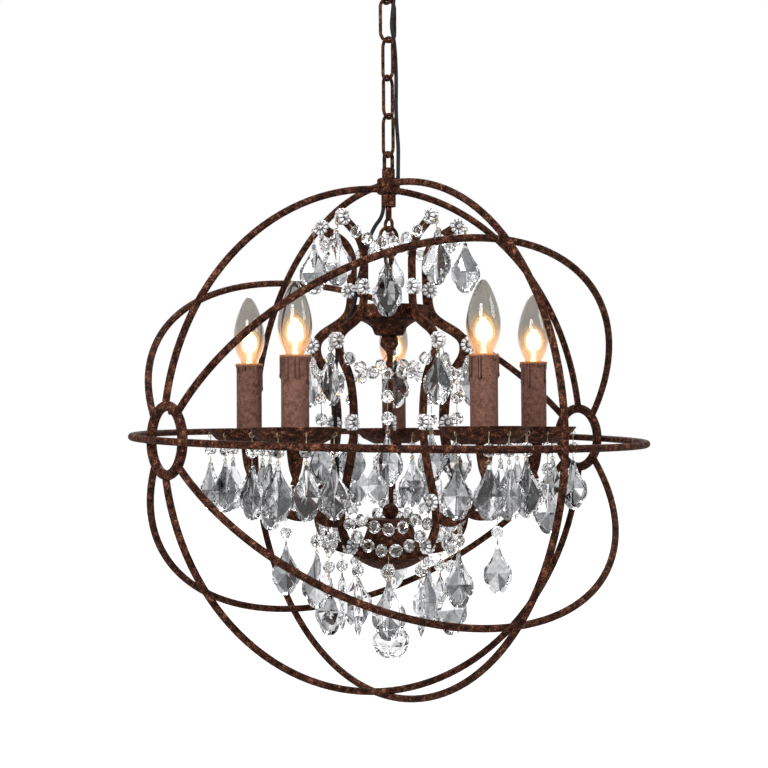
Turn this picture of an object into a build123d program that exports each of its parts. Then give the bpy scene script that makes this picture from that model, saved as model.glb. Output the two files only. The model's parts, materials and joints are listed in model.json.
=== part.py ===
"""Orb chandelier: a wire orb on a chain, with a five-light crystal chandelier hung inside it.

Millimetres, +Z up. z = 0 is the ceiling, on the axis of the chain. The orb's poles lie along X.
"""

import os
from math import asin, atan2, cos, degrees, hypot, radians, sin, sqrt, tan

from build123d import *

os.makedirs("parts", exist_ok=True)

# ---------------------------------------------------------------- driving sizes
# Ceiling end
CANOPY_D = 120.0
CANOPY_H = 28.0
CANOPY_WALL = 1.5
CANOPY_FLAT_R = 20.0
BAR_LENGTH = 104.0
BAR_WIDTH = 18.0
BAR_THICK = 2.5
CEILING_HOLE_SPACING = 80.0
CEILING_HOLE_D = 4.5
NIPPLE_D = 9.8
NIPPLE_BORE = 6.5
NUT_ACROSS = 14.0
NUT_THICK = 4.0
LOOP_WIRE = 5.0
LOOP_R = 9.0
COLLAR_D = 15.0
COLLAR_H = 10.0

# Chain
LINK_LENGTH = 53.0
LINK_WIDTH = 24.0
LINK_WIRE = 4.0
LINK_CLEAR = 0.15
LINK_TURNS = (90.0, 0.0, 90.0, 25.0, 90.0)
LINKS = len(LINK_TURNS)

# Black flex
FLEX_D = 4.6
FLEX_FIT = 0.2
FLEX_HOLE = (9.0, -9.0)

# Orb
ORB_D = 600.0
BAR_D = 8.0
WELD = 0.8
SKEW = 2.1
CROSS_TURN = 2.2
POLE_RING_R = 36.5
POLE_BAR_D = 11.0
RIVET_D = 6.0
HUB_D = 26.6
HUB_H = 17.5
HUB_BASE = 284.0
EYE_WIRE = 4.5
EYE_R = 5.5
SOCKET_D = 15.0
SOCKET_H = 12.5
COUPLING_D = 16.8
COUPLING_H = 15.0
ROD_D = 7.0
ROD_LENGTH = 16.0
RING_R = 7.0

# Drop link and stem
DROP_LENGTH = 38.0
DROP_WIDTH = 28.0
STEM_D = 7.0

# Frame of five cut plates
LIGHTS = 5
PLATE = 3.0
STRAP_W = 11.5
ARM_W = 11.0
FIRST_ARM = 54.0
BENT_ARM = 3.3
BENT_PLACE = 2
CANDLE_R = 178.0
COLLAR_Z = 146.0
COLLAR_DEPTH = 15.0
COLLAR_WALL = 2.0
WAIST_R = 50.5
BOWL_RIM_R = 43.0
BOWL_RIM_Z = -135.0
BOWL_TOP_R = 29.5
BOWL_TOP_Z = -92.0
BOWL_DEPTH = 16.0
BOWL_WALL = 1.6
CENTRE_ROD_D = 3.5
CENTRE_BALL_D = 18.5

# Candles
PAN_D = 100.0
PAN_RIM_Z = 12.4
PAN_BASE_Z = -6.0
PAN_WALL = 1.6
PAN_FLOOR_R = 26.0
CUP_H = 42.0
CUP_TOP_R = 9.5
CUP_FOOT_R = 5.5
SLEEVE_D = 30.0
SLEEVE_WALL = 1.5
SLEEVE_TOP = 90.6
HOLDER_D = 25.0
HOLDER_TOP = 80.0
CAP_D = 14.0
CAP_CLEAR = 0.1
CAP_TOP = 84.0
CAP_LENGTH = 22.0
BULB_D = 37.0
BULB_TIP = 170.6
BULB_WALL = 0.9

# Crystals
ROSETTE_D = 19.0
ROSETTE_H = 5.0
BEAD_D = 13.0
BEAD_T = 6.0
WIRE_D = 1.4
PIN_D = 1.1
EYE_LINE_R = 2.6
BALL_D = 15.0
KITE_W = 34.0
KITE_H = 56.0
KITE_T = 10.0
SPEAR_W = 12.0
SPEAR_H = 62.0
BIG_BALL_D = 43.0
BIG_BALL_Z = -232.0
CROWN_EYE_R = 93.7
CROWN_EYE_Z = 245.5
CROWN_PIN = 15.5
CENTRE_PIN = 14.0
BALL_PIN = 26.0
PAN_HOOK_DEPTH = 5.5
PAN_HOOK_INSET = 4.0
SHOULDER_HOOK_R = 101.0
SHOULDER_TWISTS = (0.0, 0.0, -52.0, 0.0, 74.0)
SINK = 0.5

# ---------------------------------------------------------------- places worked out from them
COLLAR_BASE = -CANOPY_H - COLLAR_H
LOOP_Z = COLLAR_BASE - LOOP_R + 1.0
LOOP_FOOT = LOOP_Z - LOOP_R
LINK_REACH = LINK_LENGTH - LINK_WIRE
PITCH = LINK_REACH - LINK_WIRE - LINK_CLEAR
LINK_TOPS = [LOOP_FOOT + (LOOP_WIRE + LINK_WIRE) / 2 + LINK_CLEAR - k * PITCH for k in range(LINKS)]
LINK_MIDS = [top - LINK_REACH / 2 for top in LINK_TOPS]
LINK_FEET = [top - LINK_REACH for top in LINK_TOPS]

HUB_TOP = HUB_BASE + HUB_H
SOCKET_TOP = HUB_TOP + SOCKET_H
EYE_TOP = SOCKET_TOP + 18.0
EYE_HANG = (EYE_WIRE + LINK_WIRE) / 2 + LINK_CLEAR
ORB_Z = LINK_FEET[-1] + EYE_HANG - EYE_TOP

CROSS_R = ORB_D / 2 - BAR_D / 2
RING_LINE_R = CROSS_R - BAR_D + WELD
EQUATOR_LONG = CROSS_R
EQUATOR_SHORT = RING_LINE_R
POLE_LINE_R = EQUATOR_LONG - (BAR_D + POLE_BAR_D) / 2 + WELD
POLE_X = sqrt(POLE_LINE_R**2 - POLE_RING_R**2)
POLE_ANGLE = degrees(asin(POLE_RING_R / RING_LINE_R)) + degrees((POLE_BAR_D / 2 - WELD) / RING_LINE_R)

COUPLING_BASE = HUB_BASE - COUPLING_H
ROD_RING_Z = COUPLING_BASE - ROD_LENGTH - RING_R + 2.0
DROP_TOP = ROD_RING_Z - RING_R + LINK_WIRE + LINK_CLEAR
DROP_FOOT = DROP_TOP - DROP_LENGTH + LINK_WIRE
STEM_RING_Z = DROP_FOOT + LINK_WIRE + LINK_CLEAR - RING_R

COLLAR_R = WAIST_R - STRAP_W / 2 + SINK
COLLAR_TOP = COLLAR_Z + COLLAR_DEPTH / 2
COLLAR_FOOT = COLLAR_Z - COLLAR_DEPTH / 2
STEP = 360.0 / LIGHTS
BOWL_FOOT_Z = BOWL_RIM_Z - BOWL_DEPTH
EYE_DROP = 2 * EYE_LINE_R - WIRE_D - LINK_CLEAR
STRAP_AZIMUTHS = [FIRST_ARM + STEP * k for k in range(LIGHTS)]
ARM_AZIMUTHS = [a + (BENT_ARM if k == BENT_PLACE else 0.0) for k, a in enumerate(STRAP_AZIMUTHS)]
CUP_FOOT = PAN_BASE_Z - CUP_H
PAN_FLOOR_Z = PAN_BASE_Z + PAN_WALL

# The strap's centre line as (radius, height above the orb's centre), from the crown to the bowl.
STRAP_LINE = [
    (88, 251),
    (72, 241),
    (56, 229),
    (47.5, 213),
    (46, 190),
    (46.5, 165),
    (WAIST_R, COLLAR_Z),
    (72, 129),
    (90, 114),
    (90, 97),
    (77, 77),
    (68, 50),
    (66, 15),
    (70, -15),
    (81, -50),
    (89, -80),
    (86, -104),
    (72, -121),
    (54, -127),
    (BOWL_RIM_R - 5.5, -127),
]
ARM_LINE = [(94.6, -86), (112, -91), (132, -86), (153, -74), (170, -61), (CANDLE_R, CUP_FOOT)]
# Where the rosettes sit on each strap.
STATIONS = [(84, 249), (49, 173), (96, 110), (69, 19), (86, -70)]
CROWN, WAIST, SHOULDER, NECK, BULGE = STATIONS
# Each swag ends on the face of a rosette, this far to the side of its strap's middle plane.
SWAG_FACE = PLATE / 2 + ROSETTE_H - SINK
HALF_STEP = radians(STEP / 2)


# ---------------------------------------------------------------- helpers
def upright(azimuth):
    """A plane that stands on an azimuth: its x runs outward and its y runs up from the orb's centre."""
    a = radians(azimuth)
    return Plane(origin=(0, 0, ORB_Z), x_dir=(cos(a), sin(a), 0), z_dir=(sin(a), -cos(a), 0))


def polar(radius, azimuth, height):
    """A point from its radius, azimuth and height above the orb's centre."""
    a = radians(azimuth)
    return (radius * cos(a), radius * sin(a), ORB_Z + height)


def turned(outline):
    """A solid turned about the vertical axis from an outline of (radius, height) points."""
    with BuildPart() as piece:
        with BuildSketch(Plane.XZ):
            with BuildLine():
                Polyline(*outline, close=True)
            make_face()
        revolve(axis=Axis.Z)
    return piece.part


def round_bar(start, middle, end, diameter):
    """A round bar bent to an arc through three points."""
    with BuildPart() as bar:
        with BuildLine() as path:
            ThreePointArc(start, middle, end)
        with BuildSketch(Plane(origin=path.line @ 0, z_dir=path.line % 0)):
            Circle(diameter / 2)
        sweep()
    return bar.part


def ring_point(radius, lean, angle):
    """A point on a ring that holds both poles: lean 0 stands upright, 90 lies level."""
    across = radius * cos(radians(angle))
    rise = radius * sin(radians(angle))
    return (across, rise * sin(radians(lean)), ORB_Z + rise * cos(radians(lean)))


def pole_to_pole(lean, side):
    """Half a ring, from one pole ring to the other, over the side above or below."""
    ends = (side * POLE_ANGLE, side * 90.0, side * (180.0 - POLE_ANGLE))
    return round_bar(*[ring_point(RING_LINE_R, lean, angle) for angle in ends], BAR_D)


def oval_link(length, width, wire):
    """A welded oval link standing in the XZ plane, its top wire centred at z = 0."""
    half = (width - wire) / 2
    foot = -(length - wire)
    with BuildPart() as link:
        with BuildLine() as path:
            side = Line((half, 0, foot + half), (half, 0, -half))
            crown = ThreePointArc(side @ 1, (0, 0, 0), (-half, 0, -half))
            back = Line(crown @ 1, (-half, 0, foot + half))
            ThreePointArc(back @ 1, (0, 0, foot), side @ 0)
        with BuildSketch(Plane(origin=(half, 0, foot + half), z_dir=(0, 0, 1))):
            Circle(wire / 2)
        sweep()
    return link.part


def flex_tube(name, points):
    """The flex along a route of straight runs, rounded at each corner as far as the runs allow."""
    runs = [Vector(*b) - Vector(*a) for a, b in zip(points, points[1:])]
    radii = []
    for before, after in zip(runs, runs[1:]):
        half_turn = radians(before.get_angle(after)) / 2
        radii.append(0.45 * min(before.length, after.length) / tan(half_turn))
    with BuildPart() as tube:
        with BuildLine() as path:
            FilletPolyline(*points, radius=radii)
        with BuildSketch(Plane(origin=path.line @ 0, z_dir=path.line % 0)):
            Circle(FLEX_D / 2)
        sweep()
    length = sum(edge.length for edge in path.edges())
    print(name, "radii", [round(r) for r in radii], "length", round(length, 1))
    return tube.part


def plate(line, width, azimuth):
    """A bar of sheet metal cut to follow a curve in the upright plane of an azimuth."""
    with BuildPart() as bar:
        with BuildSketch(upright(azimuth)):
            with BuildLine():
                Spline(*line)
            trace(line_width=width)
        extrude(amount=PLATE / 2, both=True)
    return bar.part


def cut_drop(width, height, thickness):
    """A faceted drop that hangs down from the origin, its broad faces to the front and back."""
    half = [(0.06, 0), (0.15, -0.1), (0.36, -0.38), (0.5, -0.62), (0.3, -0.8), (0.07, -1)]
    outline = [(x * width, z * height) for x, z in half]
    outline += [(-x, z) for x, z in reversed(outline)]
    table = [(0.5 * x, -0.5 * height + 0.62 * (z + 0.5 * height)) for x, z in outline]
    with BuildPart() as drop:
        for side in (-1, 1):
            with BuildSketch(Plane.XZ):
                Polygon(*outline, align=None)
            with BuildSketch(Plane.XZ.offset(side * thickness / 2)):
                Polygon(*table, align=None)
            loft(ruled=True)
    return drop.part


def wire_down(top, foot):
    """A piece of crystal wire between two heights on the axis."""
    with Locations((0, 0, (top + foot) / 2)):
        Cylinder(WIRE_D / 2, top - foot)


def hung(beads, pendant, hook=11.0, gap=7.0):
    """A string that hangs from the origin: a hook, beads one under another, and a pendant."""
    with BuildPart() as string:
        level = -hook
        for _ in range(beads):
            with Locations((0, 0, level - BALL_D / 2)):
                Sphere(BALL_D / 2)
            level -= BALL_D + gap
        wire_down(SINK, level - SINK)
        with Locations((0, 0, level)):
            add(pendant)
    return string.part


def swag_reach(radius):
    """How far from the axis a swag's middle hangs, from the radius of its ends on the straps."""
    return radius * cos(HALF_STEP) + SWAG_FACE * sin(HALF_STEP)


def swag_line(azimuth, radius, end_z, sag, steps):
    """Evenly spaced points on an arc slung from a rosette on one strap to one on the next."""
    middle = azimuth + STEP / 2
    half_span = radius * sin(HALF_STEP) - SWAG_FACE * cos(HALF_STEP)
    reach = swag_reach(radius)
    bend = (half_span**2 + sag**2) / (2 * sag)
    half_turn = 2 * atan2(sag, half_span)
    points = []
    for k in range(steps + 1):
        turn = half_turn * (2 * k / steps - 1)
        side = bend * sin(turn)
        height = end_z - sag + bend * (1 - cos(turn))
        points.append(Vector(*polar(hypot(side, reach), middle + degrees(atan2(side, reach)), height)))
    return points


def swag(azimuth, radius, end_z, sag, beads):
    """A string of flat eight-sided beads on wire, slung from one strap to the next."""
    points = swag_line(azimuth, radius, end_z, sag, beads + 1)
    outward = radians(azimuth + STEP / 2)
    with BuildPart() as string:
        for place in points[1:-1]:
            with BuildSketch(Plane(origin=place, z_dir=(cos(outward), sin(outward), 0))):
                RegularPolygon(BEAD_D / 2, 8)
            extrude(amount=BEAD_T / 2, both=True)
        for start, end in zip(points, points[1:]):
            with BuildSketch(Plane(origin=start, z_dir=end - start)):
                Circle(WIRE_D / 2)
            extrude(amount=(end - start).length)
    return string.part


def swinging(pendant, pendant_top, eye):
    """A pendant on its own small ring, hung in an eye at (radius, azimuth, height)."""
    radius, azimuth, height = eye
    x, y, z = polar(radius, azimuth, height - EYE_DROP)
    ring_foot = z - EYE_LINE_R
    with BuildPart() as drop:
        with Locations(Location((x, y, z), (0, 0, azimuth)) * Location((0, 0, 0), (0, 90, 0))):
            Torus(EYE_LINE_R, WIRE_D / 2)
        with Locations((x, y, (ring_foot + ORB_Z + pendant_top - SINK) / 2)):
            Cylinder(PIN_D / 2, ring_foot - ORB_Z - pendant_top + SINK)
        place_all(pendant, [(x, y, ORB_Z + pendant_top, azimuth)])
    return drop.part


def place_all(piece, spots):
    """Copies of a piece on (x, y, z, turn) spots inside the part being built."""
    for x, y, z, turn in spots:
        with Locations(Location((x, y, z), (0, 0, turn))):
            add(piece)


def save(builder, name):
    """Label a finished piece and write it out."""
    builder.part.label = name
    export_step(builder.part, f"parts/{name}.step")


# ---------------------------------------------------------------- ceiling end
with BuildPart() as ceiling_canopy:
    with BuildSketch(Plane.XZ):
        with BuildLine():
            rim = Line((CANOPY_D / 2, 0), (CANOPY_D / 2, -5))
            dome = SagittaArc(rim @ 1, (CANOPY_FLAT_R, -CANOPY_H), 7)
            flat = Line(dome @ 1, (NIPPLE_D / 2, -CANOPY_H))
            hole = Line(flat @ 1, (NIPPLE_D / 2, CANOPY_WALL - CANOPY_H))
            inner_flat = Line(hole @ 1, (CANOPY_FLAT_R - 0.5, CANOPY_WALL - CANOPY_H))
            inner = SagittaArc(inner_flat @ 1, (CANOPY_D / 2 - CANOPY_WALL, -5), -7)
            lip = Line(inner @ 1, (CANOPY_D / 2 - CANOPY_WALL, 0))
            Line(lip @ 1, rim @ 0)
        make_face()
    revolve(axis=Axis.Z)
    with Locations((*FLEX_HOLE, -CANOPY_H)):
        Cylinder(FLEX_D / 2 + FLEX_FIT, 3 * CANOPY_WALL, mode=Mode.SUBTRACT)
save(ceiling_canopy, "ceiling_canopy")

with BuildPart() as crossbar:
    with BuildSketch(Plane.XY):
        SlotOverall(BAR_LENGTH, BAR_WIDTH)
        Circle(NIPPLE_D / 2, mode=Mode.SUBTRACT)
        with GridLocations(CEILING_HOLE_SPACING, 0, 2, 1):
            Circle(CEILING_HOLE_D / 2, mode=Mode.SUBTRACT)
    extrude(amount=-BAR_THICK)
save(crossbar, "crossbar")

with BuildPart() as canopy_nipple:
    with BuildSketch(Plane.XY):
        Circle(NIPPLE_D / 2)
        Circle(NIPPLE_BORE / 2, mode=Mode.SUBTRACT)
    extrude(amount=-(CANOPY_H + COLLAR_H - 2.5))
save(canopy_nipple, "canopy_nipple")

with BuildPart() as canopy_nuts:
    for base in (-BAR_THICK, CANOPY_WALL + NUT_THICK - CANOPY_H):
        with BuildSketch(Plane.XY.offset(base)):
            RegularPolygon(NUT_ACROSS / 2, 6, major_radius=False)
            Circle(NIPPLE_D / 2, mode=Mode.SUBTRACT)
        extrude(amount=-NUT_THICK)
save(canopy_nuts, "canopy_nuts")

with BuildPart() as canopy_loop:
    with BuildSketch(Plane.XY.offset(-CANOPY_H)):
        Circle(COLLAR_D / 2)
    extrude(amount=-COLLAR_H)
    chamfer(canopy_loop.faces().sort_by(Axis.Z)[0].edges(), 1.5)
    with Locations(Location((0, 0, LOOP_Z), (90, 0, 0))):
        Torus(LOOP_R, LOOP_WIRE / 2)
    with Locations((0, 0, -CANOPY_H)):
        Cylinder(
            NIPPLE_D / 2, COLLAR_H - 2.5, align=(Align.CENTER, Align.CENTER, Align.MAX), mode=Mode.SUBTRACT
        )
save(canopy_loop, "canopy_loop")

# ---------------------------------------------------------------- chain
chain_shape = oval_link(LINK_LENGTH, LINK_WIDTH, LINK_WIRE)
for number, (link_top, link_turn) in enumerate(zip(LINK_TOPS, LINK_TURNS), start=1):
    with BuildPart() as chain_link:
        place_all(chain_shape, [(0, 0, link_top, link_turn)])
    save(chain_link, f"chain_link_{number}")

# ---------------------------------------------------------------- flex beside the chain
FLEX_START = (*FLEX_HOLE, 2 - CANOPY_H)
FLEX_LINE = [
    [(8.4, -8.2, -50)],
    [(4.6, -6.2, -97)],
    [(1.0, -6.2, -128), (5.6, -6.3, -147)],
    [(7.4, -6.8, -186)],
    [(6.9, -5.8, -231)],
    [(9.0, -7.8, -268), (8.4, -7.9, -286)],
]
FLEX_END = (8.2, -7.9, ORB_Z + HUB_TOP)


def at_height(above, below, height):
    """The point at a height on the line between two points."""
    t = (above[2] - height) / (above[2] - below[2])
    return tuple(a + t * (b - a) for a, b in zip(above, below))


joints = [at_height(upper[-1], lower[0], mid) for upper, lower, mid in zip(FLEX_LINE, FLEX_LINE[1:], LINK_MIDS)]
flex_ends = zip([FLEX_START, *joints], [*joints, FLEX_END])
for number, (middle_points, (first, last)) in enumerate(zip(FLEX_LINE, flex_ends), start=1):
    with BuildPart() as flex:
        add(flex_tube(f"flex_{number}", [first, *middle_points, last]))
    save(flex, f"flex_{number}")

# ---------------------------------------------------------------- orb
with BuildPart() as orb_loop:
    with BuildSketch(Plane.XY.offset(ORB_Z + HUB_TOP)):
        Circle(SOCKET_D / 2)
    extrude(amount=SOCKET_H)
    chamfer(orb_loop.faces().sort_by(Axis.Z)[-1].edges(), 1.5)
    with BuildLine() as eye_path:
        leg = Line((EYE_R, 0, ORB_Z + SOCKET_TOP - 3), (EYE_R, 0, ORB_Z + EYE_TOP - EYE_R))
        bow = ThreePointArc(leg @ 1, (0, 0, ORB_Z + EYE_TOP), (-EYE_R, 0, ORB_Z + EYE_TOP - EYE_R))
        Line(bow @ 1, (-EYE_R, 0, ORB_Z + SOCKET_TOP - 3))
    with BuildSketch(Plane(origin=eye_path.line @ 0, z_dir=(0, 0, 1))):
        Circle(EYE_WIRE / 2)
    sweep()
save(orb_loop, "orb_loop")

with BuildPart() as orb_hub:
    with BuildSketch(Plane.XY.offset(ORB_Z + HUB_BASE)):
        Circle(HUB_D / 2)
    extrude(amount=HUB_H)
    chamfer(orb_hub.edges().filter_by(GeomType.CIRCLE), 1.0)
save(orb_hub, "orb_hub")

with BuildPart() as ring_vertical:
    reach = degrees(asin((HUB_D / 2 - WELD) / RING_LINE_R))
    for start_angle, end_angle in ((POLE_ANGLE, 90 - reach), (90 + reach, 180 - POLE_ANGLE)):
        angles = (start_angle, (start_angle + end_angle) / 2, end_angle)
        add(round_bar(*[ring_point(RING_LINE_R, 0, angle) for angle in angles], BAR_D))
    add(pole_to_pole(0, -1))
save(ring_vertical, "ring_vertical")

with BuildPart() as ring_cross:
    reach = degrees(asin((HUB_D / 2 - WELD) / CROSS_R))
    for side in (90, -90):
        rises = [radians(rise) for rise in (90 - reach, 0, -90)]
        spots = [polar(CROSS_R * cos(rise), CROSS_TURN + side, CROSS_R * sin(rise)) for rise in rises]
        add(round_bar(*spots, BAR_D))
save(ring_cross, "ring_cross")

for name, lean in (("ring_sloping_front", SKEW - 45.0), ("ring_sloping_back", SKEW + 45.0)):
    with BuildPart() as ring_sloping:
        for side in (1, -1):
            add(pole_to_pole(lean, side))
    save(ring_sloping, name)

with BuildPart() as ring_equator:
    level = Plane(origin=(0, 0, ORB_Z), x_dir=(1, 0, 0), z_dir=(0, -sin(radians(SKEW)), cos(radians(SKEW))))
    for first in (0, 180):
        with BuildLine(level) as half_path:
            EllipticalCenterArc((0, 0), EQUATOR_LONG, EQUATOR_SHORT, start_angle=first, arc_size=180)
        with BuildSketch(Plane(origin=half_path.line @ 0, z_dir=half_path.line % 0)):
            Circle(BAR_D / 2)
        sweep()
save(ring_equator, "ring_equator")

for name, side in (("pole_ring_right", 1), ("pole_ring_left", -1)):
    with BuildPart() as pole_ring:
        with Locations(Location((side * POLE_X, 0, ORB_Z), (0, 90, 0))):
            Torus(POLE_RING_R, POLE_BAR_D / 2)
        rivet_at = radians(55)
        with Locations(
            Location(
                (
                    side * (POLE_X + POLE_BAR_D / 2),
                    -POLE_RING_R * cos(rivet_at),
                    ORB_Z + POLE_RING_R * sin(rivet_at),
                ),
                (0, 90, 0),
            )
        ):
            Cylinder(RIVET_D / 2, 4)
    save(pole_ring, name)

with BuildPart() as hub_coupling:
    with BuildSketch(Plane.XY.offset(ORB_Z + COUPLING_BASE)):
        Circle(COUPLING_D / 2)
    extrude(amount=COUPLING_H)
    chamfer(hub_coupling.faces().sort_by(Axis.Z)[-1].edges(), 0.8)
save(hub_coupling, "hub_coupling")

with BuildPart() as drop_rod:
    with BuildSketch(Plane.XY.offset(ORB_Z + COUPLING_BASE)):
        Circle(ROD_D / 2)
    extrude(amount=-ROD_LENGTH)
    with Locations(Location((0, 0, ORB_Z + ROD_RING_Z), (0, 90, 0))):
        Torus(RING_R, LINK_WIRE / 2)
save(drop_rod, "drop_rod")

with BuildPart() as drop_link:
    place_all(oval_link(DROP_LENGTH, DROP_WIDTH, LINK_WIRE), [(0, 0, ORB_Z + DROP_TOP, 0)])
save(drop_link, "drop_link")

# Flex inside the orb, in heights above the orb's centre: from the coupling past the collar to the bowl.
INNER_SPLIT_Z = 227.0
INNER_FLEX_TOP = [(-5.75, 2.28, COUPLING_BASE - 0.3), (-6.3, 2.5, 258), (-18.5, 6.2, 243)]
INNER_FLEX_LOW = [
    (-30, 6, 210),
    (-43, 1, 177),
    (-50, -3, 150),
    (-56, 14, 122),
    (-59.5, 21.5, 96),
    (-60.5, 23.2, 45),
    (-59.5, 22.5, -2),
    (-57, 22, -52),
    (-56.5, 21.5, -80),
    (-50, 19, -98),
    (-39, 15, -101),
    (-27.5, 10.6, -97),
]
inner_joint = at_height(INNER_FLEX_TOP[-1], INNER_FLEX_LOW[0], INNER_SPLIT_Z)
inner_routes = {
    "inner_flex_upper": [*INNER_FLEX_TOP, inner_joint],
    "inner_flex_lower": [inner_joint, *INNER_FLEX_LOW],
}
for name, route in inner_routes.items():
    with BuildPart() as inner_flex:
        add(flex_tube(name, [(x, y, ORB_Z + z) for x, y, z in route]))
    save(inner_flex, name)

# ---------------------------------------------------------------- frame of the chandelier
with BuildPart() as centre_stem:
    with Locations(Location((0, 0, ORB_Z + STEM_RING_Z), (0, 90, 0))):
        Torus(RING_R, LINK_WIRE / 2)
    stem_top = STEM_RING_Z - RING_R + 1.0
    with BuildSketch(Plane.XY.offset(ORB_Z + COLLAR_TOP)):
        Circle(STEM_D / 2)
    extrude(amount=stem_top - COLLAR_TOP)
save(centre_stem, "centre_stem")

with BuildPart() as waist_collar:
    with BuildSketch(Plane.XY.offset(ORB_Z + COLLAR_FOOT)):
        Circle(COLLAR_R)
    extrude(amount=COLLAR_DEPTH)
    with BuildSketch(Plane.XY.offset(ORB_Z + COLLAR_FOOT)):
        Circle(COLLAR_R - COLLAR_WALL)
    extrude(amount=COLLAR_DEPTH - COLLAR_WALL, mode=Mode.SUBTRACT)
save(waist_collar, "waist_collar")

with BuildPart() as waist_dish:
    with Locations((0, 0, ORB_Z)):
        add(
            turned(
                [
                    (0, COLLAR_FOOT + 3),
                    (34, COLLAR_FOOT + 3),
                    (35, COLLAR_FOOT - 1),
                    (29, COLLAR_FOOT - 4),
                    (21, COLLAR_FOOT - 9),
                    (17.5, COLLAR_FOOT - 15),
                    (12, COLLAR_FOOT - 19),
                    (0, COLLAR_FOOT - 19),
                ]
            )
        )
save(waist_dish, "waist_dish")

FINIAL_TOP = COLLAR_FOOT - 19
FINIAL_FOOT = FINIAL_TOP - 38
with BuildPart() as waist_finial:
    with Locations((0, 0, ORB_Z)):
        add(
            turned(
                [
                    (0, FINIAL_TOP),
                    (8.5, FINIAL_TOP),
                    (10.3, FINIAL_TOP - 3),
                    (10.3, FINIAL_TOP - 10),
                    (7, FINIAL_TOP - 16),
                    (3.6, FINIAL_TOP - 20),
                    (2.8, FINIAL_TOP - 28),
                    (0, FINIAL_TOP - 28),
                ]
            )
        )
    with Locations((0, 0, ORB_Z + FINIAL_TOP - 31)):
        Sphere(4.2)
    with BuildSketch(Plane.XY.offset(ORB_Z + FINIAL_FOOT)):
        Circle(2.4)
    extrude(amount=6)
save(waist_finial, "waist_finial")

with BuildPart() as centre_rod:
    with BuildSketch(Plane.XY.offset(ORB_Z + BOWL_TOP_Z)):
        Circle(CENTRE_ROD_D / 2)
    extrude(amount=FINIAL_FOOT - BOWL_TOP_Z)
    with Locations((0, 0, ORB_Z + BOWL_TOP_Z + CENTRE_BALL_D / 2 - SINK)):
        Sphere(CENTRE_BALL_D / 2)
    with BuildSketch(Plane.XY.offset(ORB_Z + BOWL_TOP_Z)):
        Circle(BOWL_TOP_R)
    extrude(amount=-4, mode=Mode.SUBTRACT)
save(centre_rod, "centre_rod")

with BuildPart() as bowl_upper:
    with Locations((0, 0, ORB_Z)):
        add(
            turned(
                [
                    (0, BOWL_TOP_Z),
                    (BOWL_TOP_R, BOWL_TOP_Z),
                    (BOWL_TOP_R, BOWL_TOP_Z - 8),
                    (BOWL_TOP_R - 3, BOWL_TOP_Z - 10),
                    (BOWL_RIM_R - 9, BOWL_RIM_Z + 12),
                    (BOWL_RIM_R, BOWL_RIM_Z + 2),
                    (BOWL_RIM_R, BOWL_RIM_Z),
                    (BOWL_RIM_R - BOWL_WALL, BOWL_RIM_Z),
                    (BOWL_RIM_R - 9 - BOWL_WALL, BOWL_RIM_Z + 11),
                    (BOWL_TOP_R - 3 - BOWL_WALL, BOWL_TOP_Z - 10),
                    (BOWL_TOP_R - 3 - BOWL_WALL, BOWL_TOP_Z - BOWL_WALL),
                    (0, BOWL_TOP_Z - BOWL_WALL),
                ]
            )
        )
save(bowl_upper, "bowl_upper")

# The lower bowl is part of a ball, with its centre on the axis.
bowl_lip_r = BOWL_RIM_R - 1
bowl_curve_r = (bowl_lip_r**2 + BOWL_DEPTH**2) / (2 * BOWL_DEPTH)
bowl_centre_z = BOWL_FOOT_Z + bowl_curve_r
with BuildPart() as bowl_lower:
    with Locations((0, 0, ORB_Z + bowl_centre_z)):
        Sphere(bowl_curve_r)
        Sphere(bowl_curve_r - BOWL_WALL, mode=Mode.SUBTRACT)
    split(bisect_by=Plane.XY.offset(ORB_Z + BOWL_RIM_Z), keep=Keep.BOTTOM)
save(bowl_lower, "bowl_lower")

with BuildPart() as frame_straps:
    for azimuth in STRAP_AZIMUTHS:
        add(plate(STRAP_LINE, STRAP_W, azimuth))
save(frame_straps, "frame_straps")

with BuildPart() as candle_arms:
    for azimuth in ARM_AZIMUTHS:
        add(plate(ARM_LINE, ARM_W, azimuth))
save(candle_arms, "candle_arms")

# ---------------------------------------------------------------- candles
candle_spots = [(*polar(CANDLE_R, azimuth, 0), azimuth) for azimuth in ARM_AZIMUTHS]

cup_shape = turned(
    [
        (0, CUP_FOOT),
        (CUP_FOOT_R, CUP_FOOT),
        (CUP_FOOT_R, CUP_FOOT + 3),
        (CUP_FOOT_R - 2, CUP_FOOT + 6),
        (CUP_FOOT_R, CUP_FOOT + 12),
        (CUP_TOP_R - 1, CUP_FOOT + 24),
        (CUP_TOP_R, CUP_FOOT + 36),
        (CUP_TOP_R, PAN_BASE_Z),
        (0, PAN_BASE_Z),
    ]
)
with BuildPart() as candle_cups:
    place_all(cup_shape, candle_spots)
save(candle_cups, "candle_cups")

pan_shape = turned(
    [
        (0, PAN_BASE_Z),
        (PAN_FLOOR_R, PAN_BASE_Z),
        (PAN_D / 2 - 10, 1),
        (PAN_D / 2, PAN_RIM_Z),
        (PAN_D / 2 - 1, PAN_RIM_Z + 1),
        (PAN_D / 2 - 10.6, 1 + PAN_WALL),
        (PAN_FLOOR_R - 0.5, PAN_FLOOR_Z),
        (0, PAN_FLOOR_Z),
    ]
)
with BuildPart() as drip_pans:
    place_all(pan_shape, candle_spots)
save(drip_pans, "drip_pans")

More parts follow.
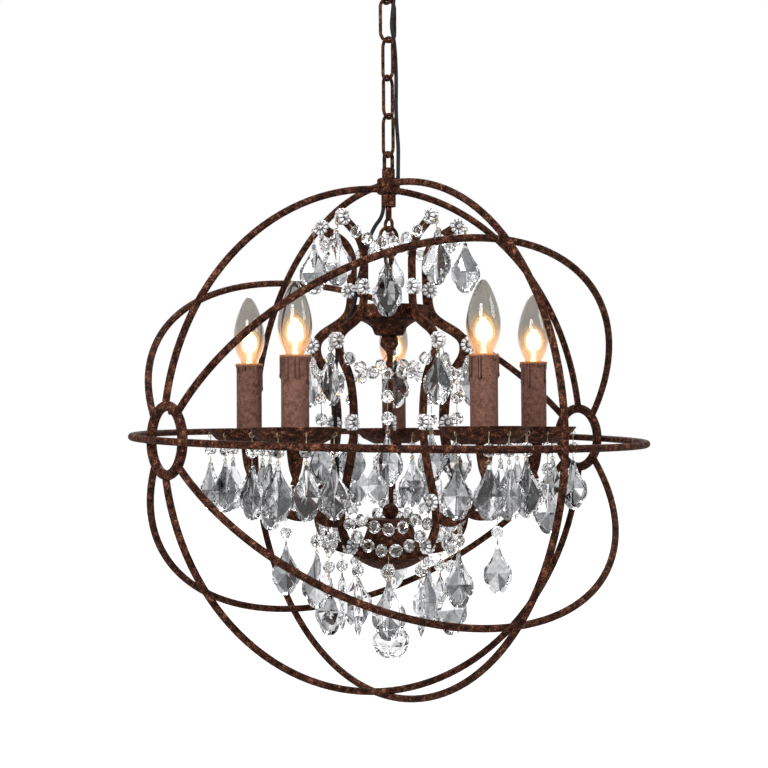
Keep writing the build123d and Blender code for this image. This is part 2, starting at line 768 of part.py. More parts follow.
sleeve_shape = turned(
    [
        (SLEEVE_D / 2 - SLEEVE_WALL, PAN_FLOOR_Z),
        (SLEEVE_D / 2, PAN_FLOOR_Z),
        (SLEEVE_D / 2, SLEEVE_TOP - 1),
        (SLEEVE_D / 2 - 0.5, SLEEVE_TOP),
        (SLEEVE_D / 2 - SLEEVE_WALL, SLEEVE_TOP),
    ]
)
with BuildPart() as candle_sleeves:
    place_all(sleeve_shape, candle_spots)
save(candle_sleeves, "candle_sleeves")

CAP_BORE = CAP_D / 2 + CAP_CLEAR
CAP_FOOT = CAP_TOP - CAP_LENGTH
holder_shape = turned(
    [
        (0, PAN_FLOOR_Z),
        (HOLDER_D / 2, PAN_FLOOR_Z),
        (HOLDER_D / 2, HOLDER_TOP),
        (CAP_BORE, HOLDER_TOP),
        (CAP_BORE, CAP_FOOT),
        (0, CAP_FOOT),
    ]
)
with BuildPart() as lampholders:
    place_all(holder_shape, candle_spots)
save(lampholders, "lampholders")

BULB_R = BULB_D / 2
BULB_LINE = [
    (CAP_D / 2, CAP_TOP),
    (9.6, 92),
    (14.2, 101),
    (BULB_R - 1.1, 110),
    (BULB_R, 119),
    (BULB_R - 1.2, 131),
    (13.6, 144),
    (8.6, 156),
    (4.0, 165),
    (1.6, BULB_TIP - 1.2),
]
with BuildPart() as bulb_shape:
    with BuildSketch(Plane.XZ):
        with BuildLine():
            outer = Spline(*BULB_LINE)
            tip = Line(outer @ 1, (0, BULB_TIP))
            wall = Line(tip @ 1, (0, BULB_TIP - 3))
            inner = Spline(wall @ 1, *[(r - BULB_WALL, z) for r, z in reversed(BULB_LINE[:-2])])
            Line(inner @ 1, outer @ 0)
        make_face()
    revolve(axis=Axis.Z)
cap_shape = turned([(0, CAP_FOOT), (CAP_D / 2, CAP_FOOT), (CAP_D / 2, CAP_TOP), (0, CAP_TOP)])
for number, spot in enumerate(candle_spots, start=1):
    with BuildPart() as bulb:
        place_all(bulb_shape.part, [spot])
        place_all(cap_shape, [spot])
    save(bulb, f"bulb_{number}")

# ---------------------------------------------------------------- crystals
with BuildPart() as strap_rosettes:
    for azimuth in STRAP_AZIMUTHS:
        for spot in STATIONS:
            for face in (-1, 1):
                with BuildSketch(upright(azimuth).offset(face * PLATE / 2)):
                    with Locations(spot):
                        Circle(ROSETTE_D / 2)
                extrude(amount=face * ROSETTE_H)
save(strap_rosettes, "strap_rosettes")

# Radius, height and sag of each row of swags, and its number of beads.
CROWN_SWAG = (CROWN[0], CROWN[1] - 6, 24.0, 7)
SHOULDER_SWAG = (SHOULDER[0], SHOULDER[1] - 8, 30.0, 8)
SWAGS = (
    CROWN_SWAG,
    SHOULDER_SWAG,
    (BULGE[0], BULGE[1] + 8, 38.0, 8),
    (BULGE[0], BULGE[1] - 8, 46.0, 10),
)
with BuildPart() as bead_swags:
    for azimuth in STRAP_AZIMUTHS:
        for row in SWAGS:
            add(swag(azimuth, *row))
save(bead_swags, "bead_swags")

kite = cut_drop(KITE_W, KITE_H, KITE_T)
spear = cut_drop(SPEAR_W, SPEAR_H, SPEAR_W)
short_drop = hung(1, kite)
long_drop = hung(2, kite, gap=9.0)
spear_drop = hung(1, spear, hook=8.0, gap=5.0)
bare_drop = hung(0, kite, hook=6.0)

PAN_HOOK_R = PAN_D / 2 - PAN_HOOK_INSET
PAN_HOOK_Z = PAN_RIM_Z - PAN_HOOK_DEPTH
# Azimuths round each pan, from the arm's own, and the kind of drop at each.
PAN_HOOKS = (
    ((-150, short_drop), (-90, short_drop), (-30, short_drop), (30, short_drop), (90, short_drop)),
    ((77, short_drop), (134, short_drop), (20, short_drop), (-40, short_drop), (-100, long_drop)),
    ((15, short_drop), (52, short_drop), (100, short_drop), (-45, short_drop), (-105, short_drop)),
    ((-77, short_drop), (-32, short_drop), (-4, short_drop), (60, short_drop), (120, short_drop)),
    ((-123, short_drop), (-92, long_drop), (-16, short_drop), (40, short_drop), (95, short_drop)),
)
with BuildPart() as pan_drops:
    for arm, hooks in zip(ARM_AZIMUTHS, PAN_HOOKS):
        cx, cy, cz = polar(CANDLE_R, arm, 0)
        for turn, drop in hooks:
            way = radians(arm + turn)
            spot = (cx + PAN_HOOK_R * cos(way), cy + PAN_HOOK_R * sin(way), cz + PAN_HOOK_Z, arm + turn + 90)
            place_all(drop, [spot])
save(pan_drops, "pan_drops")

# Drops under the arms, the straps' feet, the shoulder rosettes and the middles of the shoulder swags.
ARM_HOOK = (131, -91.5)
FOOT_HOOK = (60, -131.5)
shoulder_hook_z = SHOULDER[1] - sqrt((ROSETTE_D / 2) ** 2 - (SHOULDER_HOOK_R - SHOULDER[0]) ** 2)
shoulder_side = degrees(atan2(PLATE / 2 + ROSETTE_H / 2, SHOULDER_HOOK_R))
swag_hook_z = SHOULDER_SWAG[1] - SHOULDER_SWAG[2] - BEAD_D / 2
with BuildPart() as frame_drops:
    for azimuth, twist in zip(STRAP_AZIMUTHS, SHOULDER_TWISTS):
        place_all(short_drop, [(*polar(ARM_HOOK[0], azimuth, ARM_HOOK[1]), azimuth + 90)])
        place_all(spear_drop, [(*polar(FOOT_HOOK[0], azimuth, FOOT_HOOK[1]), azimuth + 90)])
        beside = azimuth - shoulder_side
        place_all(bare_drop, [(*polar(SHOULDER_HOOK_R, beside, shoulder_hook_z), azimuth + 90 + twist)])
        between = azimuth + STEP / 2
        place_all(long_drop, [(*polar(swag_reach(SHOULDER_SWAG[0]), between, swag_hook_z), between + 90)])
save(frame_drops, "frame_drops")

# Small wire eyes on the frame, as (radius, azimuth, height), that the swinging drops hang in.
FRONT_SWAG = FIRST_ARM + 2.5 * STEP
CENTRE_EYE_R = swag_reach(CROWN_SWAG[0])
CENTRE_EYE_Z = CROWN_SWAG[1] - CROWN_SWAG[2] - BEAD_D / 2 - EYE_LINE_R
BALL_EYE_Z = BOWL_FOOT_Z - EYE_LINE_R
crown_eyes = [(CROWN_EYE_R, azimuth, CROWN_EYE_Z) for azimuth in STRAP_AZIMUTHS]
centre_eye = (CENTRE_EYE_R, FRONT_SWAG, CENTRE_EYE_Z)
ball_eye = (0, 0, BALL_EYE_Z)
with BuildPart() as drop_eyes:
    for radius, azimuth, height in [*crown_eyes, centre_eye, ball_eye]:
        place = Location(polar(radius, azimuth, height), (0, 0, azimuth))
        with Locations(place * Location((0, 0, 0), (90, 0, 0))):
            Torus(EYE_LINE_R, WIRE_D / 2)
save(drop_eyes, "drop_eyes")

for number, eye in enumerate(crown_eyes, start=1):
    with BuildPart() as crown_drop:
        add(swinging(kite, CROWN_EYE_Z - CROWN_PIN, eye))
    save(crown_drop, f"crown_drop_{number}")

with BuildPart() as centre_drop:
    add(swinging(kite, CENTRE_EYE_Z - CENTRE_PIN, centre_eye))
save(centre_drop, "centre_drop")

with BuildPart() as ball_shape:
    Sphere(BIG_BALL_D / 2)
    wire_down(BIG_BALL_D / 2 + BALL_PIN + BALL_D / 2 + SINK, BIG_BALL_D / 2 - 2)
    with Locations((0, 0, BIG_BALL_D / 2 + BALL_PIN)):
        Sphere(BALL_D / 2)
with BuildPart() as ball_drop:
    add(swinging(ball_shape.part, BIG_BALL_Z, ball_eye))
save(ball_drop, "ball_drop")

print("orb centre z", round(ORB_Z, 2), "pole x", round(POLE_X, 2), "lowest", round(ORB_Z - ORB_D / 2, 1))
print("hinges", [round(z, 2) for z in [LOOP_FOOT] + LINK_FEET])
print("drop link hinges", round(ORB_Z + ROD_RING_Z - RING_R, 2), round(ORB_Z + DROP_FOOT, 2))
for radius, azimuth, height in [*crown_eyes, centre_eye, ball_eye]:
    print("drop hinge", [round(v, 2) for v in polar(radius, azimuth, height - EYE_LINE_R)], "azimuth", azimuth)
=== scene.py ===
"""Dressed model of an orb chandelier: rusted iron rings round a five-light crystal chandelier.

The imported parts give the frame, and each keeps its place and size. This script adds the finishes and the
pieces that need finer surfaces: cut crystals, bulbs, candle tubes with wax runs, turned iron and the black
flex. Sizes are in millimetres, and heights are above the orb's centre, unless a name says otherwise.
"""

from __future__ import annotations

import json
import logging
import math
from dataclasses import dataclass, field
from enum import Enum

import bpy
import numpy as np
from mathutils import Matrix, Vector


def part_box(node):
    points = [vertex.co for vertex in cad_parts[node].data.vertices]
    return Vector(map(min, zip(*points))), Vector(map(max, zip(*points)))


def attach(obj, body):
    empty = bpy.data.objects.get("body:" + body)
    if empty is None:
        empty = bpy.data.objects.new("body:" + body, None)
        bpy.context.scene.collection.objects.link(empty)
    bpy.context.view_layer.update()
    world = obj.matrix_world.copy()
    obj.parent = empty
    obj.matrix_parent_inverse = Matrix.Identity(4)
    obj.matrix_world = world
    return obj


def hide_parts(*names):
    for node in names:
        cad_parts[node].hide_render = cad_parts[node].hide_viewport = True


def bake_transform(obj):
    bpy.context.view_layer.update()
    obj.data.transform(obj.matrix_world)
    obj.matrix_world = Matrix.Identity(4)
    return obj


log = logging.getLogger("orb_chandelier")
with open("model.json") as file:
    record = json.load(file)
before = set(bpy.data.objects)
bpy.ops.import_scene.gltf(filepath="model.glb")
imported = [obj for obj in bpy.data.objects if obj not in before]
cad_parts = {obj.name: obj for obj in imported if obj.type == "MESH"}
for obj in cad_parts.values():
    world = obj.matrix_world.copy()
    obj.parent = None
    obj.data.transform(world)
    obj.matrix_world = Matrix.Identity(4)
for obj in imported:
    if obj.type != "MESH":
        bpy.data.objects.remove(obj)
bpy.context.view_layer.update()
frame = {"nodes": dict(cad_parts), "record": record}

MM = 0.001
SEED = 11
# Degrees that the photo's camera stands round from straight ahead.
PHOTO_AZIMUTH = 34.3
# Radius of the ring of points at a pole, too small to see.
POLE_R = 1e-4


def middle_of(node: str) -> np.ndarray:
    """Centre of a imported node's box, in metres.

    Args:
        node: the node's name.

    Returns:
        The centre as three numbers.
    """
    low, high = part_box(node)
    return (np.array(low, float) + np.array(high, float)) / 2


ORB_Z = float(middle_of("ring_cross")[2])


# ------------------------------------------------------------------ surfaces
@dataclass
class Surface:
    """Polygons in millimetres, with one tone from 0 (dark) to 1 (clear) on each."""

    points: np.ndarray
    corners: np.ndarray
    sizes: np.ndarray
    tones: np.ndarray

    def moved(self, place: tuple[float, float, float], turn: float = 0.0, tilt: float = 0.0) -> Surface:
        """A copy tilted about X, turned about Z and then moved.

        Args:
            place: where the origin goes, in millimetres.
            turn: degrees about Z.
            tilt: degrees about X, before the turn.

        Returns:
            The moved copy.
        """
        a, b = math.radians(turn), math.radians(tilt)
        about_x = np.array([[1, 0, 0], [0, math.cos(b), -math.sin(b)], [0, math.sin(b), math.cos(b)]])
        about_z = np.array([[math.cos(a), -math.sin(a), 0], [math.sin(a), math.cos(a), 0], [0, 0, 1]])
        points = self.points @ (about_z @ about_x).T + np.array(place, float)
        return Surface(points, self.corners, self.sizes, self.tones)

    def shaded(self, draw: np.random.Generator, spread: float = 0.5) -> Surface:
        """A copy whose facets have tones of their own, scattered by a seeded draw.

        Args:
            draw: the seeded source of numbers.
            spread: how far below clear a tone may go.

        Returns:
            The copy.
        """
        tones = 1.0 - spread * draw.random(len(self.sizes)) ** 1.3
        return Surface(self.points, self.corners, self.sizes, tones)


def joined(parts: list[Surface]) -> Surface:
    """Several surfaces as one."""
    starts = np.cumsum([0] + [len(part.points) for part in parts[:-1]])
    return Surface(
        np.concatenate([part.points for part in parts]),
        np.concatenate([part.corners + start for part, start in zip(parts, starts)]),
        np.concatenate([part.sizes for part in parts]),
        np.concatenate([part.tones for part in parts]),
    )


def banded(rings: np.ndarray, caps: bool = True, facets: bool = False) -> Surface:
    """A skin over closed rings of points: row i of quads joins ring i to ring i + 1.

    Args:
        rings: array (rings, points round, 3), going round anticlockwise seen from the last ring's side.
        caps: whether the first and last rings are closed by a flat face.
        facets: whether each quad is cut into two triangles.

    Returns:
        The surface, its faces pointing outwards.
    """
    levels, around = rings.shape[:2]
    i, j = np.meshgrid(np.arange(levels - 1), np.arange(around), indexing="ij")
    k = (j + 1) % around
    a, b = i * around + j, i * around + k
    c, d = (i + 1) * around + k, (i + 1) * around + j
    if facets:
        faces = np.stack([a, b, d, b, c, d], axis=-1).reshape(-1, 3)
    else:
        faces = np.stack([a, b, c, d], axis=-1).reshape(-1, 4)
    corners, sizes = [faces.ravel()], [np.full(len(faces), faces.shape[1])]
    if caps:
        corners += [np.arange(around)[::-1], (levels - 1) * around + np.arange(around)]
        sizes.append(np.array([around, around]))
    sizes = np.concatenate(sizes)
    return Surface(rings.reshape(-1, 3), np.concatenate(corners), sizes, np.ones(len(sizes)))


def laid_round(radius: np.ndarray, height: np.ndarray, angles: np.ndarray) -> np.ndarray:
    """Rings of points about the Z axis: each point has its radius, its height and its angle.

    Args:
        radius: array that spreads to (rings, angles), in millimetres.
        height: the heights, in the same way.
        angles: the points' angles in radians, the same for every ring or a row for each.

    Returns:
        Array (rings, angles, 3).
    """
    x, y = radius * np.cos(angles), radius * np.sin(angles)
    return np.stack([x, y, np.broadcast_to(height, x.shape)], axis=-1)


def full_turn(steps: int) -> np.ndarray:
    """This many angles, evenly spaced once round, in radians."""
    return np.linspace(0, 2 * math.pi, steps, endpoint=False)


def turned(profile: np.ndarray, around: int = 48) -> Surface:
    """A surface of revolution: each (radius, height) of the profile goes once round the Z axis.

    Args:
        profile: array (points, 2), going up on the outside.
        around: points in a turn.

    Returns:
        The surface; its ends are closed by flat faces where their radius isn't 0.
    """
    return banded(laid_round(np.maximum(profile[:, :1], POLE_R), profile[:, 1:], full_turn(around)))


def eased(points: list[tuple[float, float]], steps: int = 5) -> np.ndarray:
    """A smooth curve through points: each span is a Catmull-Rom cubic of its ends and their neighbours.

    Args:
        points: the points, such as (radius, height) of a profile.
        steps: how many points each span gives.

    Returns:
        Array of the curve's points, the first and last given ones included.
    """
    p = np.array(points, float)
    p = np.concatenate([2 * p[:1] - p[1:2], p, 2 * p[-1:] - p[-2:-1]])
    t = np.linspace(0, 1, steps, endpoint=False)[:, None]
    a, b, c, d = p[:-3, None], p[1:-2, None], p[2:-1, None], p[3:, None]
    spans = 0.5 * (2 * b + (c - a) * t + (2 * a - 5 * b + 4 * c - d) * t**2 + (3 * b - a - 3 * c + d) * t**3)
    return np.concatenate([spans.reshape(-1, p.shape[1]), p[-2:-1]])


def tube(path: np.ndarray, radius: float, around: int = 12) -> Surface:
    """A round bar along a path: at each point a circle stands square to the path's direction.

    Args:
        path: array (points, 3) in millimetres.
        radius: the bar's radius, or one for each point.
        around: points in a circle.

    Returns:
        The surface, closed at its ends.
    """
    along = np.gradient(path, axis=0)
    along /= np.linalg.norm(along, axis=1, keepdims=True)
    reference = np.eye(3)[int(np.argmin(np.abs(along).max(axis=0)))]
    side = np.cross(along, reference)
    side /= np.linalg.norm(side, axis=1, keepdims=True)
    rise = np.cross(along, side)
    angles = full_turn(around)[None, :, None]
    radii = np.broadcast_to(radius, len(path))[:, None, None]
    return banded(path[:, None] + radii * (side[:, None] * np.cos(angles) + rise[:, None] * np.sin(angles)))


def build_object(
    name: str, surface: Surface, material: bpy.types.Material, smooth: bool = True
) -> bpy.types.Object:
    """Puts a surface into a new mesh object that stands at the origin.

    Args:
        name: the object's name.
        surface: the polygons, in millimetres.
        material: its finish.
        smooth: whether its faces are shaded smooth.

    Returns:
        The new object.
    """
    mesh = bpy.data.meshes.new(name)
    mesh.vertices.add(len(surface.points))
    mesh.vertices.foreach_set("co", (surface.points * MM).astype(np.float32).ravel())
    mesh.loops.add(len(surface.corners))
    mesh.loops.foreach_set("vertex_index", surface.corners.astype(np.int32))
    mesh.polygons.add(len(surface.sizes))
    starts = np.concatenate([[0], np.cumsum(surface.sizes)[:-1]])
    mesh.polygons.foreach_set("loop_start", starts.astype(np.int32))
    mesh.polygons.foreach_set("loop_total", surface.sizes.astype(np.int32))
    mesh.polygons.foreach_set("use_smooth", np.full(len(surface.sizes), smooth))
    mesh.update(calc_edges=True)
    tone = mesh.attributes.new("tone", "FLOAT", "FACE")
    tone.data.foreach_set("value", surface.tones.astype(np.float32))
    mesh.validate()
    piece = bpy.data.objects.new(name, mesh)
    bpy.context.scene.collection.objects.link(piece)
    mesh.materials.append(material)
    return piece


# ------------------------------------------------------------------ finishes
class Slot(Enum):
    """The record's material slots."""

    IRON = "rusted_iron"
    CANDLE = "candle_tube"
    STEEL = "plated_steel"
    WIRE = "hook_wire"
    FLEX = "black_flex"
    HOLDER = "holder_plastic"
    BULB = "bulb_glass"
    CRYSTAL = "crystal"


class Nodes:
    """A short way to add and join shader nodes in one tree."""

    def __init__(self, tree: bpy.types.NodeTree) -> None:
        """Keeps the tree to build in."""
        self.tree = tree

    def feed(self, node: bpy.types.Node, **inputs: object) -> bpy.types.Node:
        """Sets or links the inputs of a node.

        Args:
            node: the node.
            **inputs: socket names with _ for a space, or in_N for socket N; a socket is linked, a value set.

        Returns:
            The same node.
        """
        for key, value in inputs.items():
            socket = node.inputs[int(key[3:]) if key.startswith("in_") else key.replace("_", " ")]
            if isinstance(value, bpy.types.NodeSocket):
                self.tree.links.new(value, socket)
            else:
                socket.default_value = value
        return node

    def add(self, kind: str, **inputs: object) -> bpy.types.Node:
        """Adds a node and feeds it; its kind is its type without the ShaderNode at the start."""
        return self.feed(self.tree.nodes.new("ShaderNode" + kind), **inputs)

    def maths(self, operation: str, first: object, second: object, third: float = 0.0) -> bpy.types.NodeSocket:
        """The result of a Math node on these values or sockets."""
        node = self.tree.nodes.new("ShaderNodeMath")
        node.operation = operation
        return self.feed(node, in_0=first, in_1=second, in_2=third).outputs[0]

    def mixed(self, share: bpy.types.NodeSocket, first: object, second: object) -> bpy.types.NodeSocket:
        """The colour that a Mix node gives at a share, from the first at 0 to the second at 1."""
        node = self.tree.nodes.new("ShaderNodeMix")
        node.data_type = "RGBA"
        return self.feed(node, in_0=share, in_6=first, in_7=second).outputs[2]

    def tone(self) -> bpy.types.NodeSocket:
        """Each face's own tone."""
        node = self.tree.nodes.new("ShaderNodeAttribute")
        node.attribute_name = "tone"
        return node.outputs["Fac"]

    def cloud(self, scale: float, detail: float) -> bpy.types.NodeSocket:
        """A soft noise that stays on the piece as it moves."""
        place = self.add("TexCoord").outputs["Object"]
        return self.add("TexNoise", Vector=place, Scale=scale, Detail=detail).outputs[0]

    def in_sight(self) -> bpy.types.NodeSocket:
        """1 for rays from the camera, through glass or off gloss, and 0 for the light that falls on things."""
        path = self.add("LightPath")
        seen = self.maths("MAXIMUM", path.outputs["Is Camera Ray"], path.outputs["Is Transmission Ray"])
        return self.maths("MAXIMUM", seen, path.outputs["Is Glossy Ray"])

    def ramp(self, factor: bpy.types.NodeSocket, stops: list[tuple[float, tuple]]) -> bpy.types.NodeSocket:
        """The colour of a ColorRamp with these (place, colour) stops."""
        node = self.tree.nodes.new("ShaderNodeValToRGB")
        self.tree.links.new(factor, node.inputs[0])
        elements = node.color_ramp.elements
        for element, (place, colour) in zip(elements, (stops[0], stops[-1])):
            element.position, element.color = place, (*colour, 1.0)
        for place, colour in stops[1:-1]:
            elements.new(place).color = (*colour, 1.0)
        return node.outputs[0]


def speckle_group() -> bpy.types.NodeTree:
    """Builds the rust speckle that the iron finishes share.

    Returns:
        A node group: Scale in; Patch, Grain and Height out, each a grey that changes over the surface.
    """
    tree = bpy.data.node_groups.new("rust_speckle", "ShaderNodeTree")
    tree.interface.new_socket("Scale", in_out="INPUT", socket_type="NodeSocketFloat")
    for name in ("Patch", "Grain", "Height"):
        tree.interface.new_socket(name, in_out="OUTPUT", socket_type="NodeSocketFloat")
    nodes = Nodes(tree)
    place = nodes.add("TexCoord").outputs["Object"]
    scale = tree.nodes.new("NodeGroupInput").outputs["Scale"]
    result = tree.nodes.new("NodeGroupOutput")
    wide = nodes.maths("MULTIPLY", scale, 0.22)
    patch = nodes.add("TexNoise", Vector=place, Scale=wide, Detail=3.0, Roughness=0.6)
    grain = nodes.add("TexNoise", Vector=place, Scale=scale, Detail=4.0, Roughness=0.75)
    pits = nodes.add("TexVoronoi", Vector=place, Scale=nodes.maths("MULTIPLY", scale, 1.3))
    height = nodes.maths("ADD", grain.outputs[0], nodes.maths("MULTIPLY", pits.outputs[0], 0.7))
    tree.links.new(patch.outputs[0], result.inputs["Patch"])
    tree.links.new(grain.outputs[0], result.inputs["Grain"])
    tree.links.new(height, result.inputs["Height"])
    return tree


def blank_material(name: str) -> tuple[bpy.types.Material, Nodes, bpy.types.Node]:
    """A new material with nodes, its tree and its Principled BSDF."""
    material = bpy.data.materials.new(name)
    material.use_nodes = True
    nodes = Nodes(material.node_tree)
    return material, nodes, material.node_tree.nodes["Principled BSDF"]


@dataclass(frozen=True)
class RustedIron:
    """Iron painted rust brown, with a fine rough speckle and lighter worn patches.

    With painted light and shade on, it also reads the tone: 0 is painted shade, 1 the plain rust and 2 painted
    warm lamp light.
    """

    name: str
    deep: tuple[float, float, float] = (0.004, 0.0016, 0.001)
    body: tuple[float, float, float] = (0.046, 0.0155, 0.0088)
    bright: tuple[float, float, float] = (0.36, 0.15, 0.085)
    # Painted shade for the steep sides of wax runs, where the tone is 0.
    painted_shade: tuple[float, float, float] = (0.014, 0.006, 0.0045)
    # Painted warm lamp light, where the tone is 2.
    painted_lamplight: tuple[float, float, float] = (0.75, 0.3, 0.1)
    places: tuple[float, float, float, float] = (0.41, 0.5, 0.57, 0.72)
    scale: float = 640.0
    patchy: float = 0.6
    roughness: float = 0.72
    rough_spread: float = 0.4
    bump: float = 0.5
    bump_depth: float = 0.0006
    specular: float = 0.05
    # Whether the tone paints light and shade over the rust.
    paints_light_and_shade: bool = False

    def build(self, speckle: bpy.types.NodeTree) -> bpy.types.Material:
        """Builds the material round the shared speckle group."""
        material, nodes, shader = blank_material(self.name)
        group = nodes.add("Group")
        group.node_tree = speckle
        nodes.feed(group, Scale=self.scale)
        grain = group.outputs["Grain"]
        patch = nodes.maths("MULTIPLY_ADD", group.outputs["Patch"], self.patchy, -self.patchy / 2)
        colours = (self.deep, self.body, self.body, self.bright)
        colour = nodes.ramp(nodes.maths("ADD", patch, grain), list(zip(self.places, colours)))
        if self.paints_light_and_shade:
            # The tone mixes in painted shade below 1 and painted lamp light above 1.
            tone = nodes.tone()
            colour = nodes.mixed(tone, (*self.painted_shade, 1.0), colour)
            colour = nodes.mixed(nodes.maths("SUBTRACT", tone, 1.0), colour, (*self.painted_lamplight, 1.0))
        smoothest = self.roughness - self.rough_spread / 2
        bump = nodes.add("Bump", Height=group.outputs["Height"], Strength=self.bump, Distance=self.bump_depth)
        nodes.feed(
            shader,
            Base_Color=colour,
            Roughness=nodes.maths("MULTIPLY_ADD", grain, self.rough_spread, smoothest),
            Normal=bump.outputs[0],
            Specular_IOR_Level=self.specular,
        )
        return material


@dataclass(frozen=True)
class CutCrystal:
    """Cut or pressed lead glass: each facet has its own depth of grey, from its tone."""

    name: str
    dark: tuple[float, float, float] = (0.05, 0.052, 0.055)
    grey: tuple[float, float, float] = (0.27, 0.275, 0.285)
    clear: tuple[float, float, float] = (0.97, 0.97, 0.98)
    places: tuple[float, float, float] = (0.05, 0.45, 0.85)
    cloud: float = 0.7
    cloud_shift: float = -0.31
    cloud_scale: float = 230.0
    transmission: float = 1.0
    ior: float = 1.54
    roughness: float = 0.015

    def build(self) -> bpy.types.Material:
        """Builds the material; the tone picks the grey and a faint cloud varies it."""
        material, nodes, shader = blank_material(self.name)
        tone = nodes.tone()
        cloud = nodes.maths("MULTIPLY_ADD", nodes.cloud(self.cloud_scale, 3.0), self.cloud, self.cloud_shift)
        stops = list(zip(self.places, (self.dark, self.grey, self.clear)))
        nodes.feed(
            shader,
            Base_Color=nodes.ramp(nodes.maths("ADD", cloud, tone), stops),
            Roughness=self.roughness,
            IOR=self.ior,
            Transmission_Weight=self.transmission,
        )
        return material


@dataclass(frozen=True)
class PlainFinish:
    """A finish of one colour with a fine grain: metal, plastic, glass or glowing wire."""

    name: str
    colour: tuple[float, float, float]
    roughness: float = 0.4
    metallic: float = 0.0
    grain: float = 0.08
    grain_scale: float = 500.0
    transmission: float = 0.0
    glow: float = 0.0
    glow_colour: tuple[float, float, float] = (1.0, 0.62, 0.25)
    specular: float = 0.5

    def build(self) -> bpy.types.Material:
        """Builds the material; a noise varies the colour by the grain."""
        material, nodes, shader = blank_material(self.name)
        low = tuple(c * (1 - self.grain) for c in self.colour)
        high = tuple(min(1.0, c * (1 + self.grain)) for c in self.colour)
        nodes.feed(
            shader,
            Base_Color=nodes.ramp(nodes.cloud(self.grain_scale, 3.0), [(0.3, low), (0.7, high)]),
            Roughness=self.roughness,
            Metallic=self.metallic,
            Transmission_Weight=self.transmission,
            Emission_Color=(*self.glow_colour, 1.0),
            Emission_Strength=self.glow,
            Specular_IOR_Level=self.specular,
        )
        return material


@dataclass(frozen=True)
class LampGlow:
    """One layer of painted glow round a filament: a shell that gives off warm light, see-through by its cover.
    """

    name: str
    colour: tuple[float, float, float]
    strength: float
    cover: float
    dimmest: float = 0.7
    cloud_scale: float = 260.0

    def build(self) -> bpy.types.Material:
        """Builds the material; a soft cloud varies the light so that it isn't even."""
        material, nodes, shader = blank_material(self.name)
        low = tuple(c * self.dimmest for c in self.colour)
        nodes.feed(
            shader,
            Base_Color=(0, 0, 0, 1),
            Roughness=1.0,
            Specular_IOR_Level=0.0,
            Emission_Color=nodes.ramp(nodes.cloud(self.cloud_scale, 1.0), [(0.35, low), (0.6, self.colour)]),
            Emission_Strength=self.strength,
            Alpha=self.cover,
        )
        return material


@dataclass(frozen=True)
class LitGlass:
    """Thin clear glass over a lamp: greyish, with a painted warm glow in it where its tone says."""

    name: str
    colour: tuple[float, float, float] = (0.56, 0.54, 0.505)
    warm: tuple[float, float, float] = (0.26, 0.11, 0.035)
    dimmest: float = 0.94
    cloud_scale: float = 90.0
    roughness: float = 0.01
    ior: float = 1.3

    def build(self) -> bpy.types.Material:
        """Builds the material; the tone runs the painted glow from none at 0 to the warm colour at 1."""
        material, nodes, shader = blank_material(self.name)
        low = tuple(c * self.dimmest for c in self.colour)
        nodes.feed(
            shader,
            Base_Color=nodes.ramp(nodes.cloud(self.cloud_scale, 1.0), [(0.3, low), (0.7, self.colour)]),
            # Painted glow: the glass gives off warm light by its tone.
            Emission_Color=nodes.ramp(nodes.tone(), [(0.0, (0, 0, 0)), (1.0, self.warm)]),
            Emission_Strength=1.0,
            Roughness=self.roughness,
            IOR=self.ior,
            Transmission_Weight=1.0,
        )
        return material


